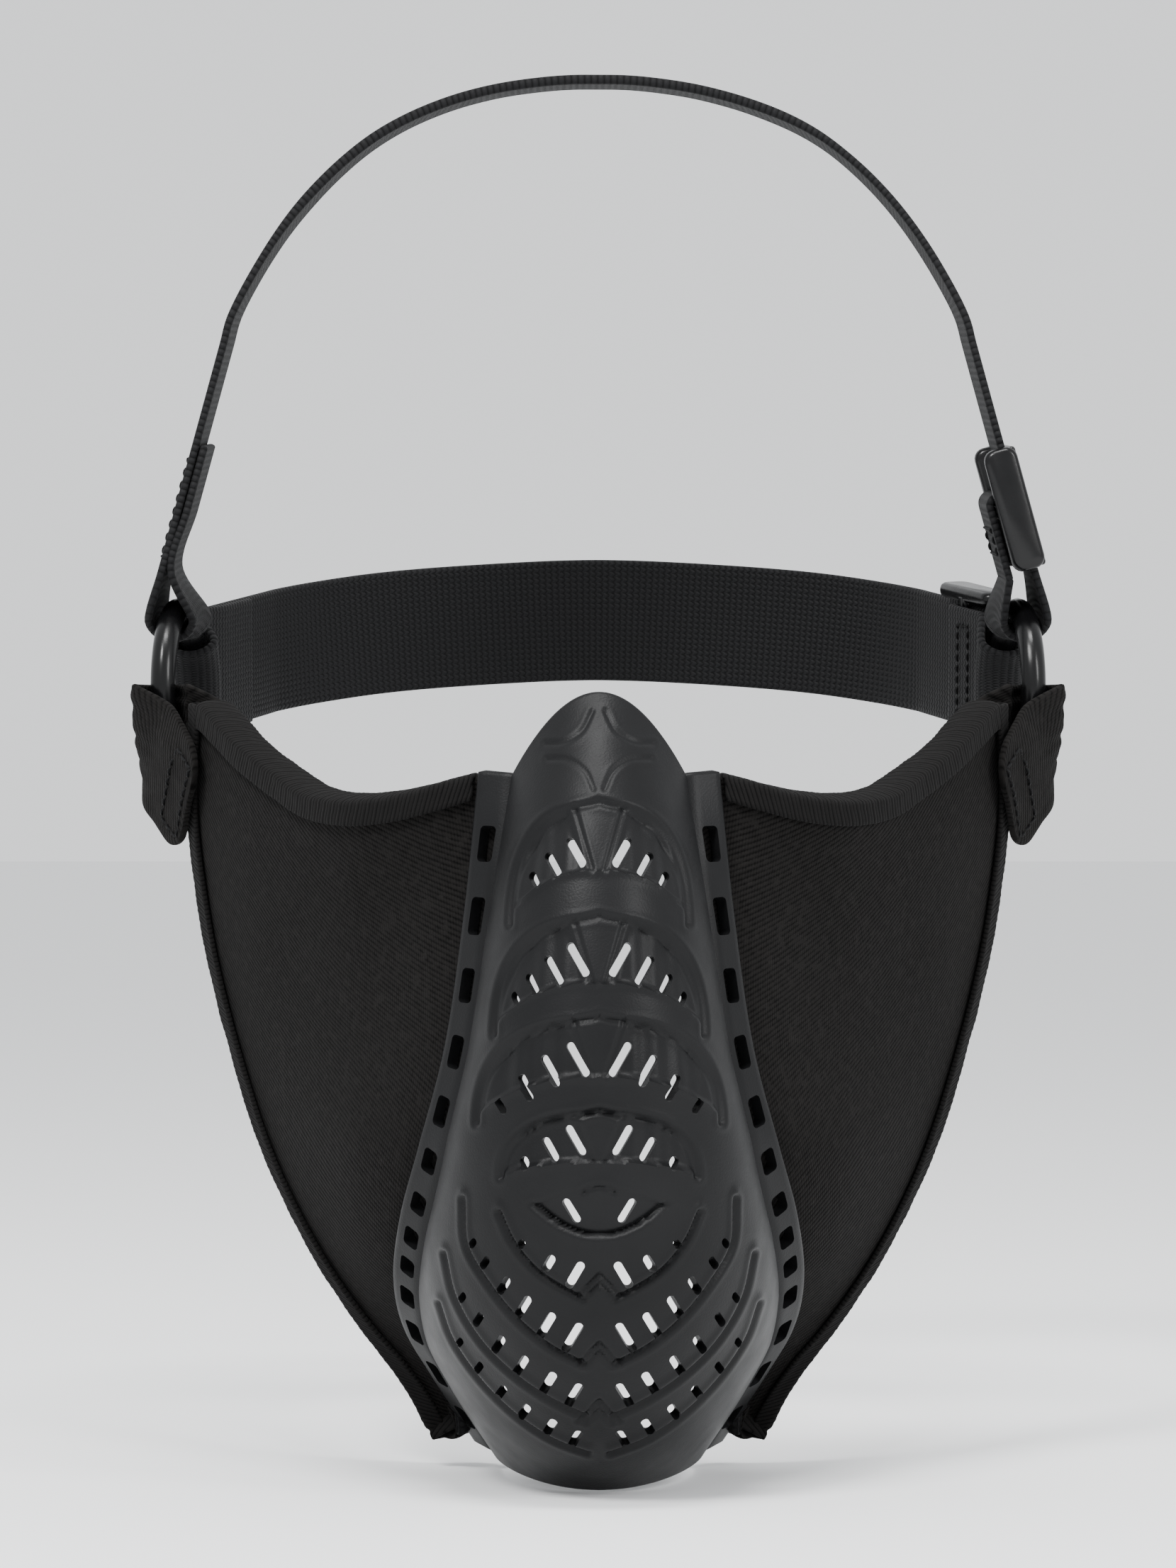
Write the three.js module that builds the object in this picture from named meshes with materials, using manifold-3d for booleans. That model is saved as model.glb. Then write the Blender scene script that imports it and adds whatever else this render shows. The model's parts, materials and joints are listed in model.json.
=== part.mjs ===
// Half-face field mask: a vented rubber muzzle between two padded cheek panels, held on the head by a
// strap over the crown and a strap behind the head, which meet each cheek at a plastic ring.
// Millimetres. +Z is up, -Y is ahead of the face, +X is the wearer's left. The origin is the middle of
// the head, which carries the mask. The +X side is drawn, and the -X side is its mirror image.
import * as THREE from "three";
import { mergeVertices } from "three/addons/utils/BufferGeometryUtils.js";
import Module from "manifold-3d";

const wasm = await Module();
wasm.setup();

// ---- driving dimensions ----
const GAP = 0.3; // between pieces that touch
const RUBBER = 2.4; // wall of the moulded muzzle
const FLANGE_WIDTH = 6.5; // strip of the muzzle that lies on each cheek
const VENT_WIDTH = 1.5;
const WINDOW_WIDTH = 3.4; // windows in the flange, across the strip

const FACE = 0.8; // outer cloth of a cheek
const FOAM = 3.0;
const LINING = 0.7;
const BINDING_WALL = 0.9;
const BINDING_WIDTH = 4.2; // how far a binding's arms reach in from the panel's edge
const BINDING_REACH = 0.8; // share of that width on the rear edge, so that it clears the top binding
const FLANGE_CLEARANCE = 1.5; // from the flange's edge to the top binding's end

const RING_RADIUS = 15.5; // to the middle of its section
const RING_SECTION = 2.5; // radius of the section
const RING_X = 83.4;
const RING_Y = 12;
const RING_Z = 19;
const RING_TOE = THREE.MathUtils.degToRad(8); // front edge further out than the rear edge
const RING_SLACK = 0.65; // from the ring to the webbing inside it
const LOOP_SIDE = 1.25; // from the ring to the webbing beside it, which the swing needs

const TAB = 1.2; // thickness of the cloth tab
const TAB_WIDTH = 24;
const TAB_LENGTH = 17; // on the cheek, past the rear edge's reach
const TAB_ANGLE = THREE.MathUtils.degToRad(217); // round the ring, from the rear towards the top
const TAB_SPAN = THREE.MathUtils.degToRad(38); // half of the ring that the tab covers

const WEBBING = 1.4;
const WEBBING_WIDTH = 25;
const LOOP_SPAN = THREE.MathUtils.degToRad(30); // half of the ring that a strap's loop covers
const TOP_ANGLE = THREE.MathUtils.degToRad(94);
const TOP_LEAN = THREE.MathUtils.degToRad(15.5); // of the crown strap's straight run, inwards
const TOP_RUN = 52; // length of that run
const REAR_ANGLE = THREE.MathUtils.degToRad(8);
const REAR_LEAN = THREE.MathUtils.degToRad(20);
const REAR_RUN = 44;
const NECK = 23.5; // from the ring's centre to where a strap's loop has closed
const SEWN_TAIL = 26; // of a strap that is folded and sewn to itself

const SLIDER_LENGTH = 24.6;
const SLIDER_RAIL = 3;
const SLIDER_SIDE_GAP = 1; // between the webbing's edge and a rail
const SLIDER_END_BAR = 2.6;
const SLIDER_BAR = 3; // the middle bar, along the strap
const BAR_THICKNESS = 1.5;
const SLIDER_START = 1; // from the neck to the slider's lower end
const THREAD = 0.3; // radius

// ---- small helpers ----
const vec = (x, y, z) => new THREE.Vector3(x, y, z);
const spline = (points) => new THREE.CatmullRomCurve3(points.map((p) => vec(...p)), false, "centripetal");
const along = (start, ...steps) => {
  const point = start.clone();
  for (const [direction, distance] of steps) point.addScaledVector(direction, distance);
  return point;
};
const mix = (a, b, share) => a.clone().lerp(b, share);
const range = (count) => Array.from({ length: count }, (_, i) => i);
const spread = (count) => range(count + 1).map((i) => i / count);
const mirrored = (point) => vec(-point.x, point.y, point.z);

/** A geometry whose triangles all face out. */
function facingOut(positions, triangles) {
  let volume = 0;
  const corner = (i) => vec(positions[3 * i], positions[3 * i + 1], positions[3 * i + 2]);
  for (let i = 0; i < triangles.length; i += 3) {
    const [a, b, c] = [corner(triangles[i]), corner(triangles[i + 1]), corner(triangles[i + 2])];
    volume += a.dot(b.cross(c));
  }
  const index = volume > 0 ? triangles : triangles.toReversed();
  const geometry = new THREE.BufferGeometry();
  geometry.setAttribute("position", new THREE.Float32BufferAttribute(positions, 3));
  geometry.setIndex(index);
  geometry.computeVertexNormals();
  return geometry;
}

/**
 * A closed solid through sections of as many points each, with the faces of its two ends, or endless.
 * The quads that start at the section's crossed points are split along their other diagonal.
 */
function loft(sections, endFaces, { endless = false, crossed = [] } = {}) {
  const count = sections[0].length;
  const triangles = [];
  const rows = endless ? sections.length : sections.length - 1;
  for (const row of range(rows)) {
    const here = row * count;
    const next = ((row + 1) % sections.length) * count;
    for (const i of range(count)) {
      const j = (i + 1) % count;
      const [a, b, c, d] = [here + i, here + j, next + j, next + i];
      triangles.push(...(crossed.includes(i) ? [a, b, d, b, c, d] : [a, b, c, a, c, d]));
    }
  }
  const end = (sections.length - 1) * count;
  for (const face of endless ? [] : endFaces) {
    for (let k = 1; k < face.length - 1; k++) {
      triangles.push(face[0], face[k + 1], face[k]);
      triangles.push(end + face[0], end + face[k], end + face[k + 1]);
    }
  }
  return facingOut(sections.flat().flatMap((p) => [p.x, p.y, p.z]), triangles);
}

/** A closed solid between two surfaces, given as rows of { outer, inner } points. */
function slab(rows) {
  const count = rows[0].outer.length;
  const opposite = (i) => 2 * count - 1 - i;
  const endFaces = range(count - 1).map((i) => [i, i + 1, opposite(i + 1), opposite(i)]);
  const crossed = range(count).map((i) => count + i);
  return loft(rows.map((row) => [...row.outer, ...row.inner.toReversed()]), endFaces, { crossed });
}

/** The mirror image of a geometry in the plane x = 0. */
function mirror(geometry) {
  const positions = Array.from(geometry.getAttribute("position").array, (v, i) => (i % 3 ? v : -v));
  return facingOut(positions, Array.from(geometry.index.array));
}

/** Unit normals of a grid of points, pointing away from a point inside, evened out over neighbours. */
function gridNormals(grid, inside, passes = 0) {
  let normals = grid.map((row, r) =>
    row.map((point, c) => {
      const down = grid[Math.min(r + 1, grid.length - 1)][c].clone().sub(grid[Math.max(r - 1, 0)][c]);
      const across = row[Math.min(c + 1, row.length - 1)].clone().sub(row[Math.max(c - 1, 0)]);
      const normal = down.cross(across).normalize();
      return normal.dot(point.clone().sub(inside)) < 0 ? normal.negate() : normal;
    }),
  );
  for (const _ of range(passes)) {
    normals = normals.map((row, r) => row.map((normal, c) => {
      const above = normals[Math.max(r - 1, 0)][c];
      const below = normals[Math.min(r + 1, grid.length - 1)][c];
      const sum = normal.clone().add(above).add(below);
      return sum.add(row[Math.max(c - 1, 0)]).add(row[Math.min(c + 1, row.length - 1)]).normalize();
    }));
  }
  return normals;
}

/** Rows of a slab whose surfaces lie at two distances from a grid. */
function layer(grid, normals, outside, inside) {
  return grid.map((row, r) => ({
    outer: row.map((point, c) => along(point, [normals[r][c], outside])),
    inner: row.map((point, c) => along(point, [normals[r][c], inside])),
  }));
}

/** manifold-3d's solid of a closed geometry. */
function solid(geometry) {
  const bare = new THREE.BufferGeometry();
  bare.setAttribute("position", geometry.getAttribute("position"));
  bare.setIndex(geometry.index);
  const merged = mergeVertices(bare, 1e-4);
  const vertProperties = Float32Array.from(merged.getAttribute("position").array);
  const triVerts = Uint32Array.from(merged.index.array);
  return new wasm.Manifold(new wasm.Mesh({ numProp: 3, vertProperties, triVerts }));
}

/** The geometry of a manifold-3d solid. */
function geometryOf(cut) {
  const mesh = cut.getMesh();
  return facingOut(Array.from(mesh.vertProperties), Array.from(mesh.triVerts));
}

/** A box placed by its centre and three directions, with its size along each. */
function placedBox(centre, axes, size) {
  const box = new THREE.BoxGeometry(...size);
  return box.applyMatrix4(new THREE.Matrix4().makeBasis(...axes).setPosition(centre));
}

/** A thread that runs round a closed path of { point, normal }. */
function threadLoop(path) {
  const sides = 6;
  const sections = path.map(({ point, normal }, i) => {
    const next = path[(i + 1) % path.length].point;
    const last = path[(i + path.length - 1) % path.length].point;
    const forward = next.clone().sub(last).normalize();
    const sideways = forward.clone().cross(normal).normalize();
    const upright = sideways.clone().cross(forward);
    return range(sides).map((k) => {
      const angle = (2 * Math.PI * k) / sides;
      return along(point, [sideways, THREAD * Math.cos(angle)], [upright, THREAD * Math.sin(angle)]);
    });
  });
  return loft(sections, [], { endless: true });
}

/** Places round a rectangle with cut corners, as pairs from -1 to 1, with so many steps a side. */
function seamOutline(steps) {
  const cut = 0.85;
  const side = spread(steps).map((s) => THREE.MathUtils.lerp(cut, -cut, s));
  return [...side.map((b) => [-1, -b]), ...side.map((a) => [-a, 1]), ...side.map((b) => [1, b]),
    ...side.map((a) => [a, -1])];
}

// ---- muzzle ----
// The flange's outer edge on the +X side, from its top to its end under the jaw.
const flangeEdge = spline([
  [21.8, -88, 2], [24.6, -90, -24], [28.1, -91, -48], [32.9, -88, -66.5], [36.5, -80, -80],
  [38, -70, -92], [36.5, -60, -102], [31.9, -53, -111], [27.5, -47.6, -118.5], [23.6, -42.8, -125],
]);
// The middle of the muzzle, from the nose bridge to the chin.
const ridge = spline([
  [0, -96, 16.5], [0, -112, -8], [0, -121, -36], [0, -122, -65], [0, -118, -94], [0, -103, -118],
  [0, -84, -129.5],
]);
const INSIDE_HEAD = vec(0, -40, -55);

/** The flange at a share of its length: its outer edge and the directions along, across and out of it. */
function flangeAt(share) {
  const edge = flangeEdge.getPointAt(share);
  const down = flangeEdge.getTangentAt(share);
  const chord = ridge.getPointAt(share).sub(edge);
  const inwards = chord.addScaledVector(down, -chord.dot(down)).normalize();
  const normal = down.clone().cross(inwards).normalize();
  if (normal.dot(edge.clone().sub(INSIDE_HEAD)) < 0) normal.negate();
  return { edge, down, inwards, normal };
}

/** A point of the dome between the flanges, at an angle from -90 to 90 degrees across it. */
function domeAt(share, angle) {
  const { edge, inwards } = flangeAt(share);
  const foot = along(edge, [inwards, FLANGE_WIDTH]);
  const top = ridge.getPointAt(share);
  const sine = Math.sin(angle);
  return vec(
    foot.x * sine,
    THREE.MathUtils.lerp(top.y, foot.y, 1 - Math.cos(angle)),
    THREE.MathUtils.lerp(top.z, foot.z, sine * sine),
  );
}

/** The share and angle of the dome's point that shows at (x, z) from in front. */
function domeShareAt(x, z) {
  let [low, high] = [0, 1];
  for (const _ of range(30)) {
    const middle = (low + high) / 2;
    const { edge, inwards } = flangeAt(middle);
    const foot = along(edge, [inwards, FLANGE_WIDTH]);
    const across = Math.min(1, Math.abs(x) / foot.x);
    const height = THREE.MathUtils.lerp(ridge.getPointAt(middle).z, foot.z, across * across);
    if (height > z) low = middle;
    else high = middle;
  }
  const { edge, inwards } = flangeAt(low);
  const foot = along(edge, [inwards, FLANGE_WIDTH]);
  return { share: low, angle: Math.asin(THREE.MathUtils.clamp(x / foot.x, -0.98, 0.98)) };
}

function muzzleGrid() {
  const dome = spread(12).map((s) => (s - 0.5) * Math.PI);
  return spread(18).map((share) => {
    const { edge, inwards } = flangeAt(share);
    const strip = [0, 0.5].map((s) => along(edge, [inwards, s * FLANGE_WIDTH]));
    const right = strip.toReversed();
    return [...strip.map(mirrored), ...dome.map((angle) => domeAt(share, angle)), ...right];
  });
}

// Vent slots: height of a row at the middle, how far it rises with x squared, lean of its slots
// (outwards at the top where positive), and the x and length of each slot on one side, seen from in front.
const FAN = THREE.MathUtils.degToRad(30);
const ventRows = [
  { middle: -10.9, rise: -0.038, lean: FAN, slots: [[4.5, 6], [8.9, 4.8], [12.4, 3]] },
  { middle: -30.4, rise: -0.033, lean: FAN, slots: [[3.9, 6.9], [8.6, 5.9], [12.6, 4.5], [15.6, 2.7]] },
  { middle: -48.4, rise: -0.03, lean: FAN, slots: [[3.9, 6.9], [9.1, 6.3], [13.6, 5.3], [17.4, 3]] },
  { middle: -62.8, rise: -0.025, lean: FAN, slots: [[4.3, 6], [9.2, 4.8], [13.7, 2.7]] },
  { middle: -75.7, rise: 0, lean: FAN, slots: [[5.3, 4.9]] },
  { middle: -88, rise: 0.034, lean: -FAN, slots: [[4.1, 5.4], [9.2, 3.4], [13.6, 1.6]] },
  { middle: -99.6, rise: 0.034, lean: -FAN,
    slots: [[4.6, 6], [9.3, 5.4], [13.6, 4.6], [17.2, 3.4], [20.2, 2.3], [22.5, 1.7]] },
  { middle: -110, rise: 0.029, lean: -FAN,
    slots: [[4.6, 4.9], [9.3, 4.6], [13.9, 4.3], [18.1, 3.4], [21.8, 2.6], [24.6, 1.7]] },
  { middle: -118.8, rise: 0.028, lean: -FAN,
    slots: [[4.4, 4], [9.2, 4], [13.5, 3.7], [17.8, 2.9], [21.8, 2], [25.1, 1.4]] },
];
// Windows in the flange: the height and the length of each, seen from in front.
const flangeWindows = [
  [-10.8, 6.6], [-23.9, 6.9], [-36.5, 6.3], [-48.2, 6], [-58.7, 5.4], [-67.5, 4.2], [-75.3, 3.6],
  [-81.9, 3.4], [-87.6, 3.2], [-93.8, 3.6], [-101.4, 4.2], [-110.2, 4.6], [-119, 4.2],
];
const CUT_DEPTH = 9; // of a vent's cutter
const WINDOW_DEPTH = 4;
const MOST_FORESHORTENED = 2.2;

/** The cutter of a vent slot centred at (x, z) from in front. */
function ventCutter(x, z, lean, length) {
  const { share, angle } = domeShareAt(x, z);
  const step = 0.01;
  const point = domeAt(share, angle);
  const down = domeAt(Math.min(share + step, 1), angle).sub(domeAt(Math.max(share - step, 0), angle));
  const across = domeAt(share, angle + step).sub(domeAt(share, angle - step));
  const normal = down.cross(across).normalize();
  if (normal.y > 0) normal.negate();
  const slant = Math.sign(x) * lean;
  const depth = -(Math.sin(slant) * normal.x + Math.cos(slant) * normal.z) / Math.min(normal.y, -0.3);
  const lengthways = vec(Math.sin(slant), depth, Math.cos(slant));
  lengthways.addScaledVector(normal, -lengthways.dot(normal));
  const stretch = Math.min(lengthways.length(), MOST_FORESHORTENED);
  lengthways.normalize();
  const sideways = lengthways.clone().cross(normal);
  return placedBox(point, [sideways, lengthways, normal], [VENT_WIDTH, length * stretch, CUT_DEPTH]);
}

/** The share of the flange's length at which its edge is at a height. */
function flangeShareAt(z) {
  let [low, high] = [0, 1];
  for (const _ of range(30)) {
    const middle = (low + high) / 2;
    if (flangeEdge.getPointAt(middle).z > z) low = middle;
    else high = middle;
  }
  return low;
}

function windowCutter(z, length) {
  const { edge, down, inwards, normal } = flangeAt(flangeShareAt(z));
  const centre = along(edge, [inwards, FLANGE_WIDTH / 2], [normal, -RUBBER / 2]);
  const across = down.clone().cross(normal).normalize();
  return placedBox(centre, [across, down, across.clone().cross(down)],
    [WINDOW_WIDTH, length / Math.abs(down.z), WINDOW_DEPTH]);
}

function muzzleShell() {
  const grid = muzzleGrid();
  let shell = solid(slab(layer(grid, gridNormals(grid, INSIDE_HEAD), 0, -RUBBER)));
  for (const { middle, rise, lean, slots } of ventRows) {
    for (const [x, length] of slots) {
      for (const side of [1, -1]) {
        shell = shell.subtract(solid(ventCutter(side * x, middle + rise * x * x, lean, length)));
      }
    }
  }
  for (const [z, length] of flangeWindows) {
    const cutter = windowCutter(z, length);
    shell = shell.subtract(solid(cutter)).subtract(solid(mirror(cutter)));
  }
  return geometryOf(shell);
}

// ---- cheek panels ----
const STACK = FACE + GAP + FOAM + GAP + LINING;
const UNDER_FLANGE = 1; // from the dome's foot to the panel's front edge
// The rear edge of the +X panel, from its top corner to its tip under the jaw.
const rearEdge = spline([
  [78.5, -17, 15.5], [79.2, -14, -5], [77.4, -12, -22], [75, -14, -35], [70, -20, -53], [63, -30, -72],
  [54, -38, -89], [46, -42, -101], [37, -44, -113], [30.5, -44, -124],
]);
const REAR_TANGENT = vec(0.12, 1, 0).normalize();

/** Where the panel leaves the flange, at a share of the flange's length. */
function panelStart(share) {
  const { edge, normal } = flangeAt(share);
  return along(edge, [normal, -RUBBER - GAP]);
}

// The top edge of the +X panel, from the flange to the rear corner.
const topEdge = new THREE.CatmullRomCurve3([
  panelStart(0), vec(29, -84.5, -0.7), vec(38, -79, -2.9), vec(47, -71, -3.7), vec(55, -60, -2.2),
  vec(61, -50, 1.5), vec(68, -39, 6.7), vec(73, -29.5, 11.6), vec(76.4, -22, 14.8), vec(78.5, -17, 15.5),
], false, "centripetal");

/** The curve that runs back along the panel at a share of its height, as a function of 0 to 1. */
function panelHoop(share) {
  const start = panelStart(share);
  const end = rearEdge.getPointAt(share);
  const chord = end.clone().sub(start);
  const reach = 0.36 * chord.length();
  const finish = mix(REAR_TANGENT, chord.clone().normalize(), share).normalize();
  const curve = new THREE.CubicBezierCurve3(
    start, along(start, [flangeAt(share).inwards, -reach]), along(end, [finish, -reach]), end);
  return { curve, length: curve.getLength() };
}

const firstHoop = panelHoop(0);

function panelPoint(share, hoop, s) {
  const dip = topEdge.getPointAt(s).sub(firstHoop.curve.getPoint(s));
  return hoop.curve.getPoint(s).addScaledVector(dip, (1 - share) ** 2);
}

/** The panel's outer surface: rows down it, and columns from its front edge to its rear edge. */
function panelGrid() {
  const inset = BINDING_WIDTH / rearEdge.getLength();
  const shares = [0, inset, ...spread(12).slice(1)];
  return shares.map((share) => {
    const hoop = panelHoop(share);
    const { inwards } = flangeAt(share);
    const front = along(panelStart(share), [inwards, FLANGE_WIDTH - UNDER_FLANGE]);
    const first = Math.min(FLANGE_CLEARANCE / hoop.length, 0.25);
    const rear = Math.min(BINDING_WIDTH / hoop.length, 0.3);
    const even = spread(5).map((s) => THREE.MathUtils.lerp(first, 1 - rear, s));
    const columns = [0, ...even, 1 - rear * BINDING_REACH, 1];
    return [front, ...columns.map((s) => panelPoint(share, hoop, s))];
  });
}

const panel = panelGrid();
const panelNormals = gridNormals(panel, INSIDE_HEAD, 4);
const panelLayer = (outside, inside) => slab(layer(panel, panelNormals, outside, inside));

/**
 * A channel round the panel's edge: stations of { edge, normal, inner, innerNormal }. Its crossed quads
 * are split as the panel's own are.
 */
function channel(stations, crossed) {
  const near = GAP;
  const far = GAP + BINDING_WALL;
  const sections = stations.map(({ edge, normal, inner, innerNormal }) => {
    const out = edge.clone().sub(inner).normalize();
    return [
      along(inner, [innerNormal, far]),
      along(edge, [out, far], [normal, far]),
      along(edge, [out, far], [normal, -STACK - far]),
      along(inner, [innerNormal, -STACK - far]),
      along(inner, [innerNormal, -STACK - near]),
      along(edge, [out, near], [normal, -STACK - near]),
      along(edge, [out, near], [normal, near]),
      along(inner, [innerNormal, near]),
    ];
  });
  return loft(sections, [[0, 1, 6, 7], [1, 2, 5, 6], [2, 3, 4, 5]], { crossed });
}

const FRONT_COLUMNS = 2; // under the flange, which the top binding leaves out
const REAR_COLUMNS = 2; // in the rear binding

function topBinding() {
  return channel(range(panel[0].length - FRONT_COLUMNS - REAR_COLUMNS).map((i) => {
    const column = i + FRONT_COLUMNS;
    return {
      edge: panel[0][column],
      normal: panelNormals[0][column],
      inner: panel[1][column],
      innerNormal: panelNormals[1][column],
    };
  }), [0, 4]);
}

function rearBinding() {
  return channel(panel.map((row, r) => {
    const last = row.length - 1;
    return {
      edge: row[last],
      normal: panelNormals[r][last],
      inner: row[last - 1],
      innerNormal: panelNormals[r][last - 1],
    };
  }), [2, 6]);
}

/** The panel's surface at (y, z), carried on straight past its edges: a point and a normal. */
function panelAt(y, z) {
  let best = { miss: Infinity };
  for (const r of range(panel.length - 1)) {
    for (const c of range(panel[0].length - 1)) {
      for (const [i, j] of [[r, c], [r + 1, c + 1]]) {
        const corners = [[i, j], [r + 1, c], [r, c + 1]];
        const [a, b, d] = corners.map(([row, column]) => panel[row][column]);
        const area = (b.y - a.y) * (d.z - a.z) - (d.y - a.y) * (b.z - a.z);
        const second = ((y - a.y) * (d.z - a.z) - (d.y - a.y) * (z - a.z)) / area;
        const third = ((b.y - a.y) * (z - a.z) - (y - a.y) * (b.z - a.z)) / area;
        const shares = [1 - second - third, second, third];
        const miss = Math.max(0, ...shares.map((share) => -share));
        if (miss < best.miss) best = { miss, shares, corners };
      }
    }
  }
  const blend = (grid) => {
    const sum = vec(0, 0, 0);
    best.corners.forEach(([row, column], k) => sum.addScaledVector(grid[row][column], best.shares[k]));
    return sum;
  };
  return { point: blend(panel), normal: blend(panelNormals).normalize() };
}

// ---- rings, and the loops of cloth and webbing round them ----
const ringCentre = vec(RING_X, RING_Y, RING_Z);
const ringAxis = vec(Math.cos(RING_TOE), Math.sin(RING_TOE), 0);
const ringBack = vec(-Math.sin(RING_TOE), Math.cos(RING_TOE), 0);
const UP = vec(0, 0, 1);
const ACROSS = spread(4).map((s) => 2 * s - 1); // places across a strap, from -1 to 1

const ringDirection = (angle) => along(vec(0, 0, 0), [ringBack, Math.cos(angle)], [UP, Math.sin(angle)]);
const ringPoint = (radius, aside, angle) =>
  along(ringCentre, [ringDirection(angle), radius], [ringAxis, aside]);

/** Rows of a band bent round the ring's section, from the ring's outer side round to its inner side. */
function loopRows(angle, span, thickness, aside) {
  const bottom = RING_RADIUS - RING_SECTION - RING_SLACK - thickness / 2;
  const middle = bottom + aside;
  return spread(7).map((s) => {
    const turn = Math.PI * (1 - s);
    const surface = (offset) => ACROSS.map((w) => ringPoint(
      middle - (aside + offset) * Math.sin(turn),
      -(aside + offset) * Math.cos(turn),
      angle + w * span,
    ));
    return { outer: surface(thickness / 2), inner: surface(-thickness / 2) };
  });
}

function ring() {
  const torus = new THREE.TorusGeometry(RING_RADIUS, RING_SECTION, 8, 32);
  torus.applyMatrix4(new THREE.Matrix4().makeBasis(ringBack, UP, ringAxis).setPosition(ringCentre));
  return torus;
}

// ---- cloth tabs ----
const TAB_OFFSET = BINDING_WALL + 4.5 * GAP; // from the panel to the tab, which clears the binding
const tabSide = (STACK + 2 * TAB_OFFSET + TAB) / 2;
const tabSideways = ringDirection(TAB_ANGLE + Math.PI / 2);
const TAB_EDGE = 22; // from the ring's centre to the end of the tab's parallel legs

/** A row of points on the tab's leg at a distance from the ring's centre and from the panel. */
function tabPoints(distance, offset) {
  return ACROSS.map((w) => {
    const place = along(ringCentre, [ringDirection(TAB_ANGLE), distance], [tabSideways, (w * TAB_WIDTH) / 2]);
    const { point, normal } = panelAt(place.y, place.z);
    return along(point, [normal, offset]);
  });
}

function tab() {
  const distances = spread(3).map((s) => TAB_EDGE + s * TAB_LENGTH);
  const outside = distances.toReversed().map((distance) => ({
    outer: tabPoints(distance, TAB_OFFSET + TAB),
    inner: tabPoints(distance, TAB_OFFSET),
  }));
  const inside = distances.map((distance) => ({
    outer: tabPoints(distance, -STACK - TAB_OFFSET - TAB),
    inner: tabPoints(distance, -STACK - TAB_OFFSET),
  }));
  return slab([...outside, ...loopRows(TAB_ANGLE, TAB_SPAN, TAB, tabSide), ...inside]);
}

function tabStitch() {
  const middle = TAB_EDGE + 0.7 * TAB_LENGTH;
  const half = 0.2 * TAB_LENGTH;
  const path = seamOutline(3).map(([a, b]) => {
    const distance = middle + a * half;
    const place = along(ringCentre, [ringDirection(TAB_ANGLE), distance], [tabSideways, b * 0.38 * TAB_WIDTH]);
    const { point, normal } = panelAt(place.y, place.z);
    return { point: along(point, [normal, TAB_OFFSET + TAB + 2.5 * GAP + THREAD]), normal };
  });
  return threadLoop(path);
}

// ---- straps ----
// Levels through a strap and its slider, from the middle of the main strand: towards the head is negative.
const LEVEL = {
  endBar: WEBBING / 2 + GAP + BAR_THICKNESS / 2,
  returnOuter: -(WEBBING + GAP),
  bar: -(WEBBING + GAP + WEBBING / 2 + GAP + BAR_THICKNESS / 2),
  returnInner: -(2 * WEBBING + 3 * GAP + BAR_THICKNESS),
};
const loopSide = RING_SECTION + LOOP_SIDE + WEBBING / 2;
const STRAND_ASIDE = 2.5; // of the main strand from the ring's middle plane

/** A straight run of strap away from the +X ring: its start and its directions. */
function straightRun(angle, lean) {
  const start = ringPoint(NECK, STRAND_ASIDE, angle);
  const flat = vec(0, Math.cos(angle), Math.sin(angle));
  const forward = along(vec(0, 0, 0), [vec(-1, 0, 0), Math.sin(lean)], [flat, Math.cos(lean)]);
  const widthways = vec(0, -Math.sin(angle), Math.cos(angle));
  const out = forward.clone().cross(widthways);
  return { start, forward, widthways, out };
}

/** Points across a strap at a distance along its straight run and a level through it. */
const runPoints = (run, distance, level) =>
  ACROSS.map((w) => along(run.start, [run.forward, distance], [run.out, level],
    [run.widthways, (w * WEBBING_WIDTH) / 2]));

/** A row of the main strand, or of a strand under it whose outer face looks at the head. */
const strandRow = (run, distance, level = 0, facing = 1) => ({
  outer: runPoints(run, distance, level + (facing * WEBBING) / 2),
  inner: runPoints(run, distance, level - (facing * WEBBING) / 2),
});

/** Rows along the curve that joins the straight run to the middle of the strap. */
function curvedRows(run, length, points, count) {
  const joint = along(run.start, [run.forward, length]);
  const before = along(joint, [run.forward, -8]);
  const half = [before, joint, ...points.map((p) => vec(...p))];
  const whole = new THREE.CatmullRomCurve3([...half, ...half.slice(0, -1).toReversed().map(mirrored)],
    false, "centripetal");
  const first = 1 / (2 * (half.length - 1));
  return spread(count).slice(1).map((s) => {
    const t = THREE.MathUtils.lerp(first, 0.5, s);
    const forward = whole.getTangent(t);
    const out = forward.clone().cross(run.widthways).normalize();
    const widthways = out.clone().cross(forward);
    const face = (level) => ACROSS.map((w) => along(whole.getPoint(t), [out, level],
      [widthways, (w * WEBBING_WIDTH) / 2]));
    return { outer: face(WEBBING / 2), inner: face(-WEBBING / 2) };
  });
}

const mirroredRow = ({ outer, inner }) => ({ outer: outer.map(mirrored), inner: inner.map(mirrored) });

/** A strap from the +X ring, where a slider adjusts it, to the -X ring, where it is sewn to itself. */
function strap(run, angle, length, points, count) {
  const loop = loopRows(angle, LOOP_SPAN, WEBBING, loopSide);
  const half = [...loop.toReversed(), ...spread(3).map((s) => strandRow(run, s * length)),
    ...curvedRows(run, length, points, count)];
  const returnEnd = strandRow(run, -GAP / 2, LEVEL.returnInner, -1);
  const tail = [0, 1].map((s) => mirroredRow(strandRow(run, s * SEWN_TAIL, LEVEL.returnOuter, -1)));
  const otherHalf = half.slice(0, -1).toReversed().map(mirroredRow);
  return slab([returnEnd, ...half, ...otherHalf, ...tail]);
}

const sliderMiddle = SLIDER_START + SLIDER_LENGTH / 2;
const RETURN_TAIL = 9; // of the return strand, hanging below the middle bar

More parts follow.
